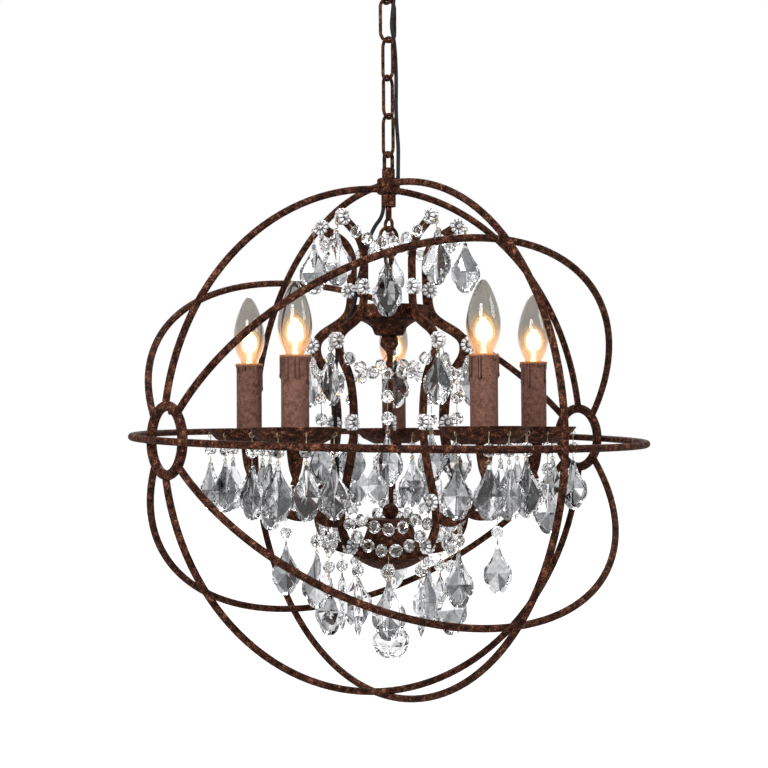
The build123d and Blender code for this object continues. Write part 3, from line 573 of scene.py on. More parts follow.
class Palette:
    """Every material of the light, built once."""

    def __init__(self) -> None:
        """Builds the shared speckle and each finish."""
        speckle = speckle_group()
        self.iron = RustedIron("iron_rusted").build(speckle)
        # Candle tubes: rust, with painted shade on steep wax runs and painted warm lamp light at the rim.
        self.candle = RustedIron(
            "candle_tube_rusted_painted_light",
            deep=(0.085, 0.039, 0.029),
            body=(0.155, 0.075, 0.056),
            bright=(0.25, 0.13, 0.1),
            scale=900.0,
            roughness=0.55,
            bump=0.12,
            paints_light_and_shade=True,
        ).build(speckle)
        self.crystal = CutCrystal("crystal_cut").build()
        self.pressed = CutCrystal(
            "crystal_pressed",
            dark=(0.03, 0.028, 0.026),
            grey=(0.4, 0.39, 0.38),
            transmission=0.2,
            roughness=0.08,
        ).build()
        # Bulb glass with a painted warm glow.
        self.bulb = LitGlass("bulb_clear_glass").build()
        # Three shells of painted glow round each filament.
        self.core = LampGlow("glow_white_hot", (1.0, 0.66, 0.34), strength=12.0, cover=0.92).build()
        self.flame = LampGlow("glow_yellow", (1.0, 0.68, 0.32), strength=2.4, cover=0.34).build()
        self.halo = LampGlow("glow_amber", (1.0, 0.62, 0.3), strength=1.4, cover=0.13).build()
        plain = {
            "bulb_stem_glass": ((0.9, 0.88, 0.84), {"roughness": 0.02, "transmission": 1.0, "grain": 0.02}),
            "bulb_cap_brass": ((0.62, 0.5, 0.28), {"roughness": 0.3, "metallic": 1.0}),
            "filament_glowing": ((1.0, 0.8, 0.5), {"roughness": 0.5, "glow": 40.0}),
            "flex_black_sheath": ((0.006, 0.006, 0.007), {"roughness": 0.5, "grain": 0.2, "specular": 0.12}),
            "steel_zinc_plated": ((0.6, 0.6, 0.57), {"roughness": 0.35, "metallic": 0.9, "grain_scale": 900.0}),
            "wire_brassy": ((0.3, 0.24, 0.17), {"roughness": 0.35, "metallic": 1.0}),
            "lampholder_plastic": ((0.72, 0.7, 0.64), {"roughness": 0.5, "grain": 0.05}),
        }
        built = [PlainFinish(name, colour, **finish).build() for name, (colour, finish) in plain.items()]
        self.stem, self.cap, self.filament, self.flex, self.steel, self.wire, self.holder = built

    def of(self, slot: str) -> bpy.types.Material:
        """The material for a record slot's name."""
        return {
            Slot.IRON.value: self.iron,
            Slot.CANDLE.value: self.candle,
            Slot.STEEL.value: self.steel,
            Slot.WIRE.value: self.wire,
            Slot.FLEX.value: self.flex,
            Slot.HOLDER.value: self.holder,
            Slot.BULB.value: self.bulb,
            Slot.CRYSTAL.value: self.crystal,
        }[slot]


def finish_packed_parts(palette: Palette) -> None:
    """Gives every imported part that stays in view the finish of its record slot."""
    for entry in frame["record"]["subparts"]:
        mesh = frame["nodes"][entry["node"]].data
        mesh.materials.clear()
        mesh.materials.append(palette.of(entry["material_slot"]))
        log.info("part %s: %s", entry["node"], entry["material_slot"])


# ------------------------------------------------------------------ where things stand
LIGHTS = 5
FIRST_ARM = 54.0
# One arm stands a little out of its place, as the photo shows it.
BENT_ARM = 2
BENT_BY = 3.3
STEP = 360.0 / LIGHTS
CANDLE_R = 178.0
STRAPS = [FIRST_ARM + STEP * k for k in range(LIGHTS)]
ARMS = [azimuth + (BENT_BY if k == BENT_ARM else 0.0) for k, azimuth in enumerate(STRAPS)]


def polar(radius: float, azimuth: float, height: float) -> tuple[float, float, float]:
    """A point in millimetres from its radius, azimuth and height above the orb's centre."""
    a = math.radians(azimuth)
    return (radius * math.cos(a), radius * math.sin(a), ORB_Z / MM + height)


@dataclass
class Piece:
    """What a finished object needs said about it."""

    body: str
    slot: Slot
    nodes: tuple[str, ...] = ()

    def make(self, name: str, surface: Surface, material: bpy.types.Material, smooth: bool = True) -> None:
        """Makes the object, rides it on its body, and hides the imported nodes that it stands for.

        Args:
            name: the object's name.
            surface: its polygons, in millimetres.
            material: its finish.
            smooth: whether its faces are shaded smooth.
        """
        piece = build_object(name, surface, material, smooth)
        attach(piece, self.body)
        if self.nodes:
            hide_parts(*self.nodes)
        log.info("piece %s rides %s", piece.name, self.body)


# ------------------------------------------------------------------ cut glass
@dataclass
class Crystals:
    """Shapes of cut glass, each hung from the origin down the Z axis."""

    kite_w: float = 34.0
    kite_h: float = 56.0
    kite_t: float = 10.0
    kite_steps: int = 4
    kite_point: float = 0.56
    kite_table: float = 0.82
    kite_greys: tuple[float, ...] = (0.08, 0.3, 0.42, 0.62, 1.0)
    kite_odds: tuple[float, ...] = (0.12, 0.28, 0.24, 0.14, 0.22)
    spear_w: float = 12.0
    spear_h: float = 62.0
    bead_d: float = 14.8
    bead_t: float = 6.0
    ball_d: float = 15.0
    ball_sides: int = 10
    rosette_d: float = 19.0
    rosette_h: float = 5.0
    petal_notch: float = 0.13
    petal_groove: float = 0.6
    pin_r: float = 0.42
    hung: float = 1.06
    below_swag: float = 1.2
    swinging: float = 1.08
    to_front: float = 0.75
    twist: float = 16.0
    draw: np.random.Generator = field(default_factory=lambda: np.random.default_rng(SEED))

    def turn_aside(self, turn: float) -> float:
        """How far a drop on a free hook hangs twisted towards the front, from its broad side's azimuth."""
        away = (-PHOTO_AZIMUTH - turn + 90) % 180 - 90
        return away * self.to_front + float(self.draw.uniform(-self.twist, self.twist))

    def kite(self, scale: float = 1.0) -> Surface:
        """A leaf-shaped drop with a scalloped edge: broad flat facets meet at a raised point on each face.

        The outline is a twelve-sided leaf, mirrored left and right. Each of its sides swells outwards by
        half a sine wave, which gives the scallops. A straight-sided ring inside it carries the broad facets.

        Args:
            scale: size against the usual drop.

        Returns:
            The drop's surface.
        """
        half = np.array(
            [(0.06, -0.01), (0.15, -0.2), (0.36, -0.41), (0.46, -0.57), (0.33, -0.79), (0.05, -0.985)]
        )
        swell = np.array([-0.012, -0.01, 0.03, 0.055, 0.05])
        leaf = np.concatenate([half, half[::-1] * np.array([-1, 1])])
        step = np.roll(leaf, -1, axis=0) - leaf
        length = np.linalg.norm(step, axis=1, keepdims=True)
        outward = np.stack([-step[:, 1], step[:, 0]], axis=-1) / length
        depth = np.concatenate([swell, [0.0], swell[::-1], [0.0]])
        u = np.linspace(0, 1, self.kite_steps, endpoint=False)[None, :, None]
        straight = (leaf[:, None] + step[:, None] * u).reshape(-1, 2)
        bulge = (outward * depth[:, None])[:, None] * np.sin(math.pi * u) ** 0.7
        size = np.array([self.kite_w, self.kite_h]) * scale
        outline = (straight + bulge.reshape(-1, 2)) * size
        centre = np.array([0, -self.kite_point]) * size
        table = centre + self.kite_table * (straight * size - centre)
        point = np.broadcast_to(centre, outline.shape)
        levels = [(point, -0.5), (table, -0.34), (outline, -0.08), (outline, 0.08), (table, 0.34), (point, 0.5)]
        rings = [np.insert(flat, 1, share * self.kite_t * scale, axis=1) for flat, share in levels]
        skin = banded(np.array(rings), caps=False, facets=True)
        skin.tones = self.kite_tones(len(leaf))
        return skin

    def kite_tones(self, sides: int) -> np.ndarray:
        """Draws a kite's tones: six broad facets on each face, and small ones of their own round its edge.

        Args:
            sides: the number of the leaf's sides.

        Returns:
            Array with a tone for each triangle, band by band.
        """
        shade = self.draw.uniform(-0.08, 0.1)
        facet_of_side = np.array([0, 0, 0, 1, 2, 2, 3, 4, 5, 5, 5, 5])
        drawn = self.draw.choice(self.kite_greys, (5, 6), p=self.kite_odds)
        broad = drawn[:, facet_of_side] + shade
        narrow = self.draw.uniform(0.15, 1.0, (5, sides))
        is_broad = np.array([True, False, False, False, True])[:, None]
        return np.repeat(np.where(is_broad, broad, narrow).ravel(), self.kite_steps * 2)

    def rounded_cut(self, radii: np.ndarray, heights: np.ndarray, sides: int) -> Surface:
        """A stack of many-sided rings, each turned half a step from the last, cut into triangles.

        Args:
            radii: each ring's radius.
            heights: each ring's height.
            sides: the number of sides.

        Returns:
            The surface, with a drawn tone on each triangle.
        """
        odd = np.arange(len(radii))[:, None] % 2
        turns = np.arange(sides) * 2 * math.pi / sides - odd * math.pi / sides
        rings = laid_round(radii[:, None], heights[:, None], turns)
        return banded(rings, facets=True).shaded(self.draw, 0.6)

    def ball(self, diameter: float, bands: int = 5) -> Surface:
        """A faceted ball whose centre is the origin."""
        angles = np.linspace(-84, 84, bands + 1) * math.pi / 180
        return self.rounded_cut(diameter / 2 * np.cos(angles), diameter / 2 * np.sin(angles), self.ball_sides)

    def spear(self) -> Surface:
        """A long six-sided drop, widest near its top, that tapers to a point."""
        shares = np.array([(0.0, -1.0), (0.34, -0.86), (0.5, -0.62), (0.5, -0.3), (0.36, -0.1), (0.12, 0.0)])
        radii = np.maximum(0.05, shares[:, 0]) * self.spear_w
        return self.rounded_cut(radii, shares[:, 1] * self.spear_h, 6)

    def bead(self) -> Surface:
        """A flat eight-sided bead that faces along Y."""
        radii = np.array([0.3, 0.5, 0.5, 0.3]) * self.bead_d
        shape = self.rounded_cut(radii, np.array([-0.5, -0.16, 0.16, 0.5]) * self.bead_t, 8)
        return shape.moved((0, 0, 0), 0, 90)

    def rosette(self) -> Surface:
        """A pressed flower of ten petals about a button, its back on the XY plane.

        The rim's radius follows the absolute cosine of five times the angle, so it has ten lobes. The
        height is a dome that the same curve cuts into petals, with a low ring between them and the button.

        Returns:
            The rosette's surface, its petals clear, with painted shade in the gaps between them and on the low
            ring round the button.
        """
        around = 80
        angles = full_turn(around)
        share = np.array([1.0, 1.0, 0.93, 0.78, 0.6, 0.44, 0.36, 0.26, 0.0])[:, None]
        dome = np.array([0.0, 0.35, 0.72, 0.95, 0.85, 0.45, 0.5, 0.9, 1.1])[:, None]
        petal = np.abs(np.cos(5 * angles))[None]
        gap = (share > 0.5) * (1 - petal**0.5)
        radius = self.rosette_d / 2 * share * (1 - self.petal_notch * gap)
        height = self.rosette_h * dome * (1 - self.petal_groove * gap) * 0.9
        skin = banded(laid_round(radius, height, angles))
        # Painted shade: the gaps between the petals are dark and the petals stay clear.
        middle = np.abs(np.cos(5 * (angles + angles[1] / 2)))
        painted_lighting = np.where(middle > 0.42, 0.95, 0.08)
        # Painted shade on the low ring round the button.
        bands = np.array([0.75, 0.9, 1.0, 1.0, 0.55, 0.12, 0.12, 0.75])[:, None] * self.draw.uniform(0.85, 1.05)
        skin.tones[: bands.size * around] = np.clip(bands * np.where(bands > 0.5, painted_lighting, 1.0), 0, 1).ravel()
        return skin

    def pin(self, top: float, foot: float) -> Surface:
        """A straight wire on the axis between two heights."""
        return tube(np.array([[0, 0, top], [0, 0, foot]], float), self.pin_r, 6)

    def ring(self, centre: tuple[float, float, float], radius: float = 2.2, thick: float = 0.45) -> Surface:
        """A small wire ring in the XZ plane: a circle of circles.

        Args:
            centre: its middle, in millimetres.
            radius: from its middle to the wire's.
            thick: the wire's own radius.

        Returns:
            The closed tube.
        """
        turn, about = full_turn(16), full_turn(6)[None]
        reach = radius + thick * np.cos(about)
        x = centre[0] + reach * np.cos(turn)[:, None]
        y = np.broadcast_to(centre[1] + thick * np.sin(about), x.shape)
        rings = np.stack([x, y, centre[2] + reach * np.sin(turn)[:, None]], axis=-1)
        return banded(np.concatenate([rings, rings[:1]]), caps=False)


class Drop(Enum):
    """The kinds of string that hang in the light: beads, gap below each, hook length and pendant."""

    SHORT = (1, 7.0, 11.0, "kite")
    LONG = (2, 9.0, 11.0, "kite")
    BELOW_SWAG = (1, 4.0, 7.0, "large kite")
    SPEAR = (1, 5.0, 8.0, "spear")
    BARE = (0, 7.0, 6.0, "kite")


@dataclass
class Strings:
    """Gathers hung strings of glass, and the bright wire that joins them."""

    cut: Crystals
    glass: list[Surface] = field(default_factory=list)
    wire: list[Surface] = field(default_factory=list)

    def hang(self, kind: Drop, place: tuple[float, float, float], turn: float) -> None:
        """Adds one string from a hook.

        Args:
            kind: which string.
            place: the hook's point, in millimetres.
            turn: azimuth of the pendant's broad side, in degrees.
        """
        beads, gap, hook, pendant = kind.value
        cut = self.cut
        level = -hook
        for _ in range(beads):
            ball = cut.ball(cut.ball_d).moved((0, 0, level - cut.ball_d / 2))
            self.glass.append(ball.moved(place, turn))
            level -= cut.ball_d + gap
        swing = cut.turn_aside(turn)
        scale = cut.below_swag if pendant == "large kite" else cut.hung
        shape = cut.spear() if pendant == "spear" else cut.kite(scale)
        self.glass.append(shape.moved((0, 0, level), swing).moved(place, turn))
        self.wire.append(cut.pin(2.0, level - 1.5).moved(place, turn))
        self.wire.append(cut.ring((0, 0, level + 2.0)).moved(place, turn))
        self.wire.append(cut.ring((0, 0, -1.0), 2.8).moved(place, turn + 90))

    def finish(self, name: str, palette: Palette, node: str) -> None:
        """Makes the gathered glass and wire into two objects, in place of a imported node."""
        piece = Piece("chandelier", Slot.CRYSTAL, (node,))
        piece.make(name + "_glass", joined(self.glass), palette.crystal, smooth=False)
        Piece(piece.body, Slot.WIRE).make(name + "_pins", joined(self.wire), palette.wire)


@dataclass
class CrystalDress:
    """Everything of glass that hangs on the frame."""

    palette: Palette
    cut: Crystals = field(default_factory=Crystals)
    pan_hook_r: float = 46.0
    pan_hook_z: float = 6.9
    plate: float = 3.0
    stations: tuple[tuple[float, float], ...] = (
        (84, 249),
        (49, 173),
        (96, 110),
        (69, 19),
        (86, -70),
        (73, -119),
    )
    swag_face: float = 6.0
    swag_hook: float = 6.5
    crown_swag: tuple[float, float, float, int] = (84, 243, 24.0, 6)
    shoulder_swag: tuple[float, float, float, int] = (96, 102, 30.0, 7)
    bulge_swag: tuple[float, float, float, int] = (86, -62, 38.0, 7)
    low_swag: tuple[float, float, float, int] = (86, -78, 46.0, 8)
    bead_twist: float = 35.0
    arm_hook: tuple[float, float] = (131.0, -91.5)
    foot_hook: tuple[float, float] = (60.0, -131.5)
    shoulder_hook: tuple[float, float] = (101.0, 101.9)
    shoulder_twists: tuple[float, ...] = (0.0, 0.0, -52.0, 0.0, 74.0)
    crown_eye: tuple[float, float] = (93.7, 245.5)
    crown_pin: float = 15.5
    centre_pin: float = 14.0
    eye_r: float = 2.6
    eye_wire: float = 1.4
    eye_slack: float = 0.15
    stem_eye_z: float = -151.0
    big_ball_d: float = 43.0
    big_ball_z: float = -232.0
    big_ball_pin: float = 26.0

    def rosettes(self) -> None:
        """Rosettes on both broad sides of each strap, at its five stations and its foot."""
        parts = []
        for azimuth in STRAPS:
            for radius, height in self.stations:
                for face in (-1, 1):
                    flower = self.cut.rosette().moved((0, 0, self.plate / 2))
                    upright = flower.moved((0, 0, 0), 0, 90 if face < 0 else -90)
                    parts.append(upright.moved((radius, 0, 0)).moved(polar(0, 0, height), azimuth))
        piece = Piece("chandelier", Slot.CRYSTAL, ("strap_rosettes",))
        piece.make("rosettes_glass", joined(parts), self.palette.pressed, smooth=False)

    def swag_reach(self, radius: float) -> float:
        """How far from the axis a swag's middle hangs, from the radius of its ends on the straps."""
        half = math.radians(STEP / 2)
        return radius * math.cos(half) + self.swag_face * math.sin(half)

    def swag_points(self, azimuth: float, row: tuple[float, float, float, int]) -> np.ndarray:
        """Bead places on an arc slung between rosettes on two straps, evenly spaced along it.

        Args:
            azimuth: the first strap's.
            row: radius and height of its ends, its sag and its number of beads.

        Returns:
            Array (beads + 2, 3), the ends included.
        """
        radius, end_z, sag, beads = row
        half = math.radians(STEP / 2)
        half_span = radius * math.sin(half) - self.swag_face * math.cos(half)
        reach = self.swag_reach(radius)
        bend = (half_span**2 + sag**2) / (2 * sag)
        turn = 2 * math.atan2(sag, half_span) * np.linspace(-1, 1, beads + 2)
        side, height = bend * np.sin(turn), end_z - sag + bend * (1 - np.cos(turn))
        a = math.radians(azimuth) + half
        x = reach * math.cos(a) - side * math.sin(a)
        y = reach * math.sin(a) + side * math.cos(a)
        return np.stack([x, y, ORB_Z / MM + height], axis=-1)

    def swags(self) -> None:
        """Four rows of bead swags between the straps; each row is a radius, a height, a sag and its beads."""
        rows = [self.crown_swag, self.shoulder_swag, self.bulge_swag, self.low_swag]
        glass, wire = [], []
        for azimuth in STRAPS:
            for row in rows:
                points = self.swag_points(azimuth, row)
                wire.append(tube(points, self.cut.pin_r, 6))
                for place in points[1:-1]:
                    bead = self.cut.bead()
                    twist = float(self.cut.draw.uniform(-self.bead_twist, self.bead_twist))
                    glass.append(bead.moved((0, 0, 0), twist).moved(tuple(place), azimuth + STEP / 2 + 90))
        Strings(self.cut, glass, wire).finish("swags", self.palette, "bead_swags")

    def pan_strings(self) -> None:
        """Strings under the rim of each pan, at the angles where the photo shows them."""
        short, long = Drop.SHORT, Drop.LONG
        hooks = (
            ((-150, short), (-90, short), (-30, short), (30, short), (90, short)),
            ((77, short), (134, short), (20, short), (-40, short), (-100, long)),
            ((15, short), (52, short), (100, short), (-45, short), (-105, short)),
            ((-77, short), (-32, short), (-4, short), (60, short), (120, short)),
            ((-123, short), (-92, long), (-16, short), (40, short), (95, short)),
        )
        strings = Strings(self.cut)
        for arm, row in zip(ARMS, hooks):
            centre = np.array(polar(CANDLE_R, arm, self.pan_hook_z))
            for turn, kind in row:
                a = math.radians(arm + turn)
                place = centre + self.pan_hook_r * np.array([math.cos(a), math.sin(a), 0])
                strings.hang(kind, tuple(place), arm + turn + 90)
        strings.finish("pan_strings", self.palette, "pan_drops")

    def frame_strings(self) -> None:
        """Strings under the arms, the straps' feet, the shoulder rosettes and the shoulder swags."""
        strings = Strings(self.cut)
        hook_r, hook_z = self.shoulder_hook
        beside = math.degrees(math.atan2(self.plate / 2 + self.cut.rosette_h / 2, hook_r))
        swag_r, swag_z, sag, _ = self.shoulder_swag
        for azimuth, twist in zip(STRAPS, self.shoulder_twists):
            for kind, (radius, height) in ((Drop.SHORT, self.arm_hook), (Drop.SPEAR, self.foot_hook)):
                strings.hang(kind, polar(radius, azimuth, height), azimuth + 90)
            strings.hang(Drop.BARE, polar(hook_r, azimuth - beside, hook_z), azimuth + 90 + twist)
            between = azimuth + STEP / 2
            low = swag_z - sag - self.swag_hook
            strings.hang(Drop.LONG, polar(self.swag_reach(swag_r), between, low), between + 90)
            radius, height, drop, _ = self.low_swag
            hook = polar(self.swag_reach(radius), between, height - drop - self.swag_hook)
            strings.hang(Drop.BELOW_SWAG, hook, between + 90)
        strings.finish("frame_strings", self.palette, "frame_drops")

    def eye_and_pin(self, name: str, place: tuple[float, float, float], turn: float, foot: float) -> None:
        """The wire of a drop that swings: a ring through the fixed eye, and a pin down into the glass.

        Args:
            name: the body that it rides.
            place: radius, azimuth and height of the fixed eye.
            turn: azimuth of the ring's plane, in degrees.
            foot: height of the pin's foot.
        """
        radius, azimuth, height = place
        ring_z = height - (2 * self.eye_r - self.eye_wire - self.eye_slack)
        ring = self.cut.ring((0, 0, 0), self.eye_r, self.eye_wire / 2)
        ring = ring.moved(polar(radius, azimuth, ring_z), turn)
        pin = self.cut.pin(ring_z - self.eye_r - height, foot - height).moved(polar(radius, azimuth, height))
        Piece(name, Slot.WIRE).make(name + "_pin", joined([ring, pin]), self.palette.wire)

    def swinging(self) -> None:
        """The drops that swing on their own: five at the crown, one in the middle and the ball."""
        crown_r, crown_z = self.crown_eye
        swag_r, swag_z, sag, _ = self.crown_swag
        eyes = [(crown_r, azimuth, crown_z) for azimuth in STRAPS]
        hung = [(f"crown_drop_{k}", eye, self.crown_pin) for k, eye in enumerate(eyes, start=1)]
        centre_z = swag_z - sag - self.swag_hook - self.eye_r
        front = FIRST_ARM + 2.5 * STEP
        hung.append(("centre_drop", (self.swag_reach(swag_r), front, centre_z), self.centre_pin))
        for name, (radius, azimuth, height), below in hung:
            drop = self.cut.kite(self.cut.swinging)
            turn = azimuth + self.cut.turn_aside(azimuth)
            drop = drop.moved(polar(radius, azimuth, height - below), turn)
            Piece(name, Slot.CRYSTAL, (name,)).make(name + "_glass", drop, self.palette.crystal, smooth=False)
            self.eye_and_pin(name, (radius, azimuth, height), azimuth + 90, height - below - 2)
        self.ball_drop()

    def ball_drop(self) -> None:
        """The large cut ball that hangs lowest, under a bead."""
        top = self.big_ball_z + self.big_ball_d / 2
        ball = self.cut.ball(self.big_ball_d, bands=7).moved(polar(0, 0, self.big_ball_z))
        bead = self.cut.ball(self.cut.ball_d).moved(polar(0, 0, top + self.big_ball_pin))
        piece = Piece("ball_drop", Slot.CRYSTAL, ("ball_drop",))
        piece.make("ball_drop_glass", joined([ball, bead]), self.palette.crystal, smooth=False)
        self.eye_and_pin("ball_drop", (0, 0, self.stem_eye_z - self.eye_r), 90, top - 1)

    def build(self) -> None:
        """Builds all the glass in order."""
        self.rosettes()
        self.swags()
        self.pan_strings()
        self.frame_strings()
        self.swinging()


# ------------------------------------------------------------------ candles
@dataclass
class Candles:
    """The candle tubes with their wax runs, the turned cups and the bulbs."""

    palette: Palette
    tube_r: float = 15.0
    tube_wall: float = 1.5
    tube_foot: float = -4.4
    tube_top: float = 90.6
    runs: int = 8
    run_t: float = 1.5
    run_lengths: tuple[float, float] = (5.0, 34.0)
    run_widths: tuple[float, float] = (0.09, 0.26)
    rim_t: float = 1.2
    rim_h: float = 5.0
    cap_r: float = 7.0
    glass_t: float = 0.8
    # Height and spread of the painted glow in the bulb glass.
    warm_z: float = 97.0
    warm_h: float = 18.0

    def tube_surface(self, draw: np.random.Generator) -> Surface:
        """A candle tube: the radius grows where a wax run lies, down to the run's own length.

        Across a run the growth is a flat-topped bell curve of the angle. Down it, the growth ends in a soft
        step, with a small bell curve above the end for the drop.

        Args:
            draw: the seeded source of each run's angle, width and length.

        Returns:
            The tube's surface, its bore open at both ends, with painted shade where its side is steep and
            painted warm lamp light at its rim.
        """
        around, rows = 128, 72
        angles = full_turn(around)
        heights = self.tube_top - (self.tube_top - self.tube_foot) * np.linspace(1, 0, rows) ** 1.4
        down = self.tube_top - heights[:, None]
        swell = np.exp(-((down / self.rim_h) ** 4)) * self.rim_t * np.ones((1, around))
        places = (np.arange(self.runs) + draw.uniform(-0.3, 0.3, self.runs)) * 2 * math.pi / self.runs
        lengths = draw.uniform(*self.run_lengths, self.runs)
        widths = draw.uniform(*self.run_widths, self.runs)
        for place, length, width in zip(places, lengths, widths):
            off = np.angle(np.exp(1j * (angles - place)))[None]
            body = 1 / (1 + np.exp((down - length) / 0.5))
            drop = np.exp(-(((down - length + 2) / 2.2) ** 2)) * 0.35
            swell = np.maximum(swell, np.exp(-((off / width) ** 4)) * (body + drop) * self.run_t)
        radius = self.tube_r + swell
        radius[-1] = self.tube_r - 0.3
        bore = np.full((2, around), self.tube_r - self.tube_wall)
        level = np.concatenate([heights, [self.tube_top - 0.4, self.tube_foot], heights[:1]])[:, None]
        rings = laid_round(np.concatenate([radius, bore, radius[:1]]), level, angles)
        skin = banded(rings, caps=False)
        # Painted shade: the tone drops where a wax run's side is steep.
        steep = np.hypot(
            (np.roll(swell, -1, axis=1) - swell) * around / (2 * math.pi * self.tube_r),
            np.gradient(swell, axis=0) / np.gradient(heights)[:, None],
        )
        # Painted warm lamp light on the outside just under the rim.
        painted_lighting = np.exp(-((down[1:] / 1.6) ** 2)) * 0.8
        skin.tones[: (rows - 1) * around] = (np.clip(1.2 - 0.95 * steep[:-1], 0, 1) + painted_lighting).ravel()
        # Painted warm lamp light on the rim's top and all down the bore.
        skin.tones[(rows - 1) * around : (rows + 1) * around] = 1.9
        return skin

    def tubes(self) -> None:
        """All five tubes, each with runs of its own."""
        draw = np.random.default_rng(SEED + 1)
        parts = [self.tube_surface(draw).moved(polar(CANDLE_R, arm, 0), arm) for arm in ARMS]
        piece = Piece("chandelier", Slot.CANDLE, ("candle_sleeves",))
        piece.make("candle_tubes_waxed", joined(parts), self.palette.candle)

    def cups(self) -> None:
        """The turned cups between the arms and the pans."""
        profile = [(4.6, -48), (5.5, -46.5), (4.6, -44.6), (3.6, -42), (4.4, -38.5), (6.2, -33)]
        profile += [(7.6, -26), (8.7, -18), (9.4, -11), (9.5, -6)]
        cup = turned(eased(profile, 6), 32)
        piece = Piece("chandelier", Slot.IRON, ("candle_cups",))
        cups = joined([cup.moved(polar(CANDLE_R, arm, 0)) for arm in ARMS])
        piece.make("candle_cups_turned", cups, self.palette.iron)

    def glass(self) -> Surface:
        """A thin glass shell: the outer profile goes up to the tip and the inner one comes back down.

        Returns:
            The shell; its tone is the painted warm glow in it, a bell curve of the height about the filament's
            foot.
        """
        outer = [(7.0, 84), (8.2, 88), (11.2, 94.5), (14.6, 101.5), (17.2, 109.5), (18.5, 119), (17.9, 130)]
        outer += [(15.6, 142), (11.9, 153), (8.2, 161.5), (5.0, 166.8), (2.5, 169.6), (0, 170.6)]
        line = eased(outer)
        inside = line[:-1] - np.array([self.glass_t, 0.0])
        inside = np.maximum(inside[inside[:, 0] > 0.1], 0)
        back = np.concatenate([[[0, line[-1, 1] - 1.5 * self.glass_t]], inside[::-1]])
        shell = np.concatenate([line, back, line[:1]])
        around = 40
        rings = laid_round(np.maximum(shell[:, :1], POLE_R), shell[:, 1:], full_turn(around))
        skin = banded(rings, caps=False)
        middle = (shell[:-1, 1] + shell[1:, 1]) / 2
        skin.tones = np.repeat(np.exp(-(((middle - self.warm_z) / self.warm_h) ** 2)), around)
        return skin

    def ragged(self, profile: list[tuple[float, float]]) -> Surface:
        """A turned shape whose radius is its own times two sine waves: seven streaks and three lobes.

        Args:
            profile: (radius, height) points, going up.

        Returns:
            The shape's surface.
        """
        skin = turned(eased(profile), 42)
        angle = np.arctan2(skin.points[:, 1], skin.points[:, 0])
        wave = 1 + 0.14 * np.sin(7 * angle + skin.points[:, 2] * 0.25) + 0.08 * np.sin(3 * angle + 1.1)
        skin.points[:, :2] *= wave[:, None]
        return skin

    def bulbs(self) -> None:
        """Each bulb: clear glass, screwed brass cap, glass stem, support wires, a glowing filament and three
        shells of painted glow round it.
        """
        ridges = np.linspace(0, 1, 57)
        thread_r = self.cap_r - 0.45 + 0.4 * np.sin(ridges * 14 * math.pi)
        thread = np.stack([thread_r, 64 + 18 * ridges], axis=-1)
        cap = turned(np.concatenate([[[2.4, 62]], [[4.5, 62.6]], thread, [[6.9, 84.2]]]), 40)
        stem = turned(eased([(4.6, 84), (4.0, 88), (2.2, 97), (1.7, 106), (2.2, 108), (0, 109)], 4), 20)
        turn = np.linspace(0, 1, 90)
        coil = np.stack(
            [
                6.0 * np.sin(turn * 2 * math.pi) * (0.4 + 0.6 * turn),
                2.2 * np.cos(turn * 6 * math.pi),
                112 + 17 * np.sin(turn * math.pi),
            ],
            axis=-1,
        )
        leg = np.array([[1.2, 0, 104], [2.4, 0, 109], [0.6, 2.2, 112.2]])
        legs = joined([tube(leg * np.array([side, 1, 1]), 0.3, 6) for side in (-1, 1)])
        # Profiles of the three shells of painted glow round the filament.
        core = [(0.3, 87), (2.4, 89), (1.9, 98), (2.6, 103), (7.2, 108), (7.8, 117), (5.6, 124), (0.3, 129)]
        flame = [(0.3, 86), (3.6, 88), (3.6, 98), (6.2, 103), (9.8, 109), (10.2, 119), (7, 128), (0.3, 134)]
        halo = [(0.3, 85.5), (5.4, 88), (7.2, 96), (11.4, 104), (13.6, 114), (11.6, 128), (0.3, 139)]
        looks = (
            ("glass", self.glass(), self.palette.bulb, Slot.BULB),
            ("cap", cap, self.palette.cap, Slot.WIRE),
            ("stem", stem, self.palette.stem, Slot.BULB),
            ("legs", legs, self.palette.wire, Slot.WIRE),
            ("filament", tube(coil, 0.42, 8), self.palette.filament, Slot.WIRE),
            ("core", self.ragged(core), self.palette.core, Slot.BULB),
            ("flame", self.ragged(flame), self.palette.flame, Slot.BULB),
            ("halo", self.ragged(halo), self.palette.halo, Slot.BULB),
        )
        for number, arm in enumerate(ARMS, start=1):
            body = f"bulb_{number}"
            for look, surface, material, slot in looks:
                placed = surface.moved(polar(CANDLE_R, arm, 0), arm + 40 * number)
                Piece(body, slot, (body,) if look == "glass" else ()).make(f"{body}_{look}", placed, material)

    def build(self) -> None:
        """Builds the tubes, the cups and the bulbs."""
        self.tubes()
        self.cups()
        self.bulbs()


# ------------------------------------------------------------------ turned iron in the middle
@dataclass
class TurnedIron:
    """Lathe work on the axis: the dish at the straps' waist and the finial under it."""

    palette: Palette

    def build(self) -> None:
        """Turns each piece from a smooth profile and puts it in place of its plain part."""
        shapes = {
            "waist_dish": (
                [(12, 119.6), (16.4, 120.6), (18.3, 124), (20.6, 129)]
                + [(27, 134), (34, 137.5), (35, 140)]
            ),
            "waist_finial": (
                [(2.4, 81.5), (2.8, 83.4), (4.2, 86.5), (3.9, 89.5), (2.7, 91.6), (2.8, 95), (3.9, 100)]
                + [(7.2, 104.4), (10.2, 108.4), (10.4, 112), (9.6, 116), (8.4, 119.4)]
            ),
        }
        for node, profile in shapes.items():
            surface = turned(eased(profile, 6)).moved(polar(0, 0, 0))
            Piece("chandelier", Slot.IRON, (node,)).make(node + "_turned", surface, self.palette.iron)


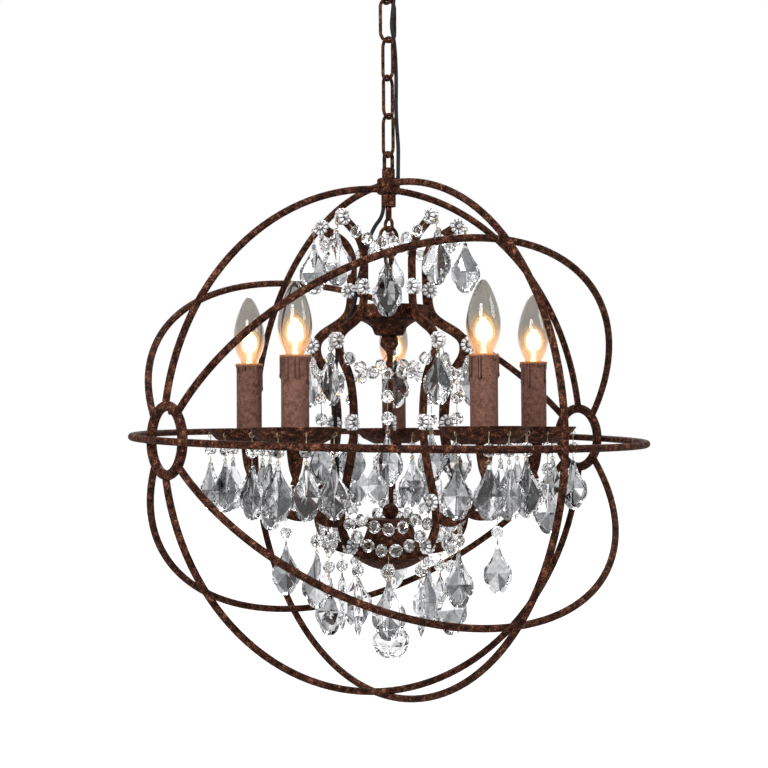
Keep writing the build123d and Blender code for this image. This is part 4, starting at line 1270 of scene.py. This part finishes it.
# ------------------------------------------------------------------ flex
@dataclass
class Flex:
    """The black flex, in one length for each joint that it passes."""

    palette: Palette
    diameter: float = 4.6
    link_pitch: float = 44.85
    first_hinge: float = -55.0
    second_hinge: float = -99.35
    first_cut: float = -74.85
    inner_cut: float = 227.0
    longest_bend: float = 14.0

    def smooth_path(self, name: str, route: list[tuple[float, float, float]]) -> np.ndarray:
        """Points along one NURBS spline with the route's points as its control points.

        Args:
            name: the route's name.
            route: its points, in millimetres.

        Returns:
            Array (points, 3) in millimetres.
        """
        curve = bpy.data.curves.new(name + "_route", "CURVE")
        curve.dimensions = "3D"
        curve.resolution_u = 10
        spline = curve.splines.new("NURBS")
        spline.points.add(len(route) - 1)
        controls = [(*np.array(point) * MM, 1.0) for point in route]
        spline.points.foreach_set("co", np.array(controls, np.float32).ravel())
        spline.order_u = 3
        spline.use_endpoint_u = True
        holder = bpy.data.objects.new(name + "_route", curve)
        line = bpy.data.meshes.new_from_object(holder)
        points = np.zeros(len(line.vertices) * 3, np.float32)
        line.vertices.foreach_get("co", points)
        bpy.data.objects.remove(holder)
        bpy.data.curves.remove(curve)
        bpy.data.meshes.remove(line)
        return points.reshape(-1, 3).astype(float) / MM

    def lay(self, name: str, route: list) -> None:
        """Args:
            name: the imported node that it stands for.
            route: its points, in millimetres.
        """
        path = self.smooth_path(name, route)
        piece = build_object(name + "_sheath", tube(path, self.diameter / 2, 16), self.palette.flex)
        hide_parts(name)
        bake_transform(piece)

    def build(self) -> None:
        """Lays the flex from the canopy to the orb, and from the orb into the bowl."""
        top = ORB_Z / MM
        free = [
            [(8.4, -8.2, -50)],
            [(4.6, -6.2, -97)],
            [(1.0, -6.2, -128), (5.6, -6.3, -147)],
            [(7.4, -6.8, -186)],
            [(6.9, -5.8, -231)],
            [(9.0, -7.8, -268), (8.4, -7.9, -286)],
        ]
        mids = [self.first_cut - self.link_pitch * k for k in range(5)]
        cuts = [self.at_height(up[-1], low[0], mid) for up, low, mid in zip(free, free[1:], mids)]
        starts = [(9, -9, -26), *cuts]
        ends = [*cuts, (8.2, -7.9, top + 301.5)]
        for k, (first, middle, last) in enumerate(zip(starts, free, ends)):
            self.lay(f"flex_{k + 1}", [first, *middle, last])
        upper = [(-5.75, 2.28, 268.7), (-6.3, 2.5, 258), (-18.5, 6.2, 243)]
        lower = [
            (-30, 6, 210), (-43, 1, 177), (-50, -3, 150), (-56, 14, 122), (-59.5, 21.5, 96), (-60.5, 23.2, 45),
            (-59.5, 22.5, -2), (-57, 22, -52), (-56.5, 21.5, -80), (-50, 19, -98), (-39, 15, -101),
            (-27.5, 10.6, -97),
        ]
        cut = self.at_height(upper[-1], lower[0], self.inner_cut)
        raised = [[(x, y, top + z) for x, y, z in line] for line in ([*upper, cut], [cut, *lower])]
        self.lay("inner_flex_upper", raised[0])
        self.lay("inner_flex_lower", raised[1])

    @staticmethod
    def at_height(above: tuple, below: tuple, height: float) -> tuple[float, float, float]:
        """The point at a height on the line between two points."""
        t = (above[2] - height) / (above[2] - below[2])
        return tuple(a + t * (b - a) for a, b in zip(above, below))


# ------------------------------------------------------------------ camera, floor and light
@dataclass(frozen=True)
class Camera:
    """The photo's camera, fitted to the rings: distances in metres, angles in radians."""

    distance: float = 1.849
    above_centre: float = 0.005
    yaw: float = -0.0035
    pitch: float = 0.0317
    roll: float = -0.0056
    focal_px: float = 1601.0
    frame_px: float = 768.0
    sensor_mm: float = 36.0

    def build(self) -> None:
        """Creates the camera and makes it the scene's."""
        a = math.radians(PHOTO_AZIMUTH)
        right = Vector((math.cos(a), -math.sin(a), 0))
        away = Vector((math.sin(a), math.cos(a), 0))
        up = Vector((0, 0, 1))
        look = (
            right * math.sin(self.yaw) * math.cos(self.pitch)
            + away * math.cos(self.yaw) * math.cos(self.pitch)
            + up * math.sin(self.pitch)
        )
        level = right * math.cos(self.yaw) - away * math.sin(self.yaw)
        rise = level.cross(look)
        side = level * math.cos(self.roll) + rise * math.sin(self.roll)
        top = -level * math.sin(self.roll) + rise * math.cos(self.roll)
        data = bpy.data.cameras.new("photo_camera")
        data.sensor_width = self.sensor_mm
        data.lens = self.focal_px / self.frame_px * self.sensor_mm
        camera = bpy.data.objects.new("photo_camera", data)
        bpy.context.scene.collection.objects.link(camera)
        camera.matrix_world = Matrix.Translation(
            Vector((0, 0, ORB_Z + self.above_centre)) - away * self.distance
        ) @ Matrix((side, top, -look)).transposed().to_4x4()
        bpy.context.scene.camera = camera


@dataclass(frozen=True)
class Studio:
    """A pale floor far below, soft lamps and a white surround."""

    floor_z: float = -2.3
    floor_half: float = 30.0
    floor_white: float = 0.9
    ambient: float = 0.26

    def floor(self) -> None:
        """A wide pale floor that keeps the object's shadow and looks white to the camera."""
        half = self.floor_half / MM
        corners = np.array([[-half, -half], [half, -half], [half, half], [-half, half]])
        points = np.concatenate([corners, np.full((4, 1), self.floor_z / MM)], axis=1)
        material, nodes, shader = blank_material("floor_pale")
        nodes.feed(
            shader,
            Base_Color=(0.86, 0.86, 0.86, 1),
            Roughness=0.9,
            Emission_Color=(1, 1, 1, 1),
            Emission_Strength=nodes.maths("MULTIPLY", nodes.in_sight(), self.floor_white),
        )
        plane = Surface(points, np.arange(4), np.array([4]), np.ones(1))
        build_object("floor", plane, material, smooth=False)

    def surround(self) -> None:
        """A world that lights softly and looks white to the camera and through glass."""
        world = bpy.data.worlds.new("white_surround")
        bpy.context.scene.world = world
        world.use_nodes = True
        nodes = Nodes(world.node_tree)
        strength = nodes.maths("MULTIPLY_ADD", nodes.in_sight(), 1.0 - self.ambient, self.ambient)
        nodes.feed(world.node_tree.nodes["Background"], Color=(1, 1, 1, 1), Strength=strength)

    def lamp(
        self, name: str, around: float, height: float, distance: float, watts: float, size: float
    ) -> None:
        """A square soft lamp that looks at the orb's centre.

        Args:
            name: the lamp's name.
            around: its azimuth from the camera's side, in degrees, to the right.
            height: its height above the orb's centre, in metres.
            distance: its distance from the axis, in metres.
            watts: its power.
            size: its width, in metres.
        """
        a = math.radians(PHOTO_AZIMUTH - around)
        away = Vector((math.sin(a), math.cos(a), 0))
        place = Vector((0, 0, ORB_Z + height)) - away * distance
        data = bpy.data.lights.new(name, "AREA")
        data.energy, data.size = watts, size
        lamp = bpy.data.objects.new(name, data)
        lamp.location = place
        lamp.rotation_euler = (Vector((0, 0, ORB_Z)) - place).to_track_quat("-Z", "Y").to_euler()
        bpy.context.scene.collection.objects.link(lamp)

    def build(self) -> None:
        """Sets the floor, the surround and the lamps."""
        self.floor()
        self.surround()
        self.lamp("soft_front", around=-18, height=1.0, distance=2.1, watts=62, size=0.9)
        self.lamp("soft_side", around=70, height=1.1, distance=2.2, watts=26, size=1.0)
        self.lamp("soft_back", around=180, height=1.4, distance=2.0, watts=42, size=1.2)
        bpy.context.scene.view_settings.view_transform = "Standard"


def main() -> None:
    """Builds the dressed light, the camera and the studio, in order."""
    logging.basicConfig(level=logging.INFO, format="%(message)s", force=True)
    palette = Palette()
    Camera().build()
    finish_packed_parts(palette)
    Flex(palette).build()
    Candles(palette).build()
    TurnedIron(palette).build()
    CrystalDress(palette).build()
    Studio().build()
    bpy.context.view_layer.update()


if __name__ == "__main__":
    main()
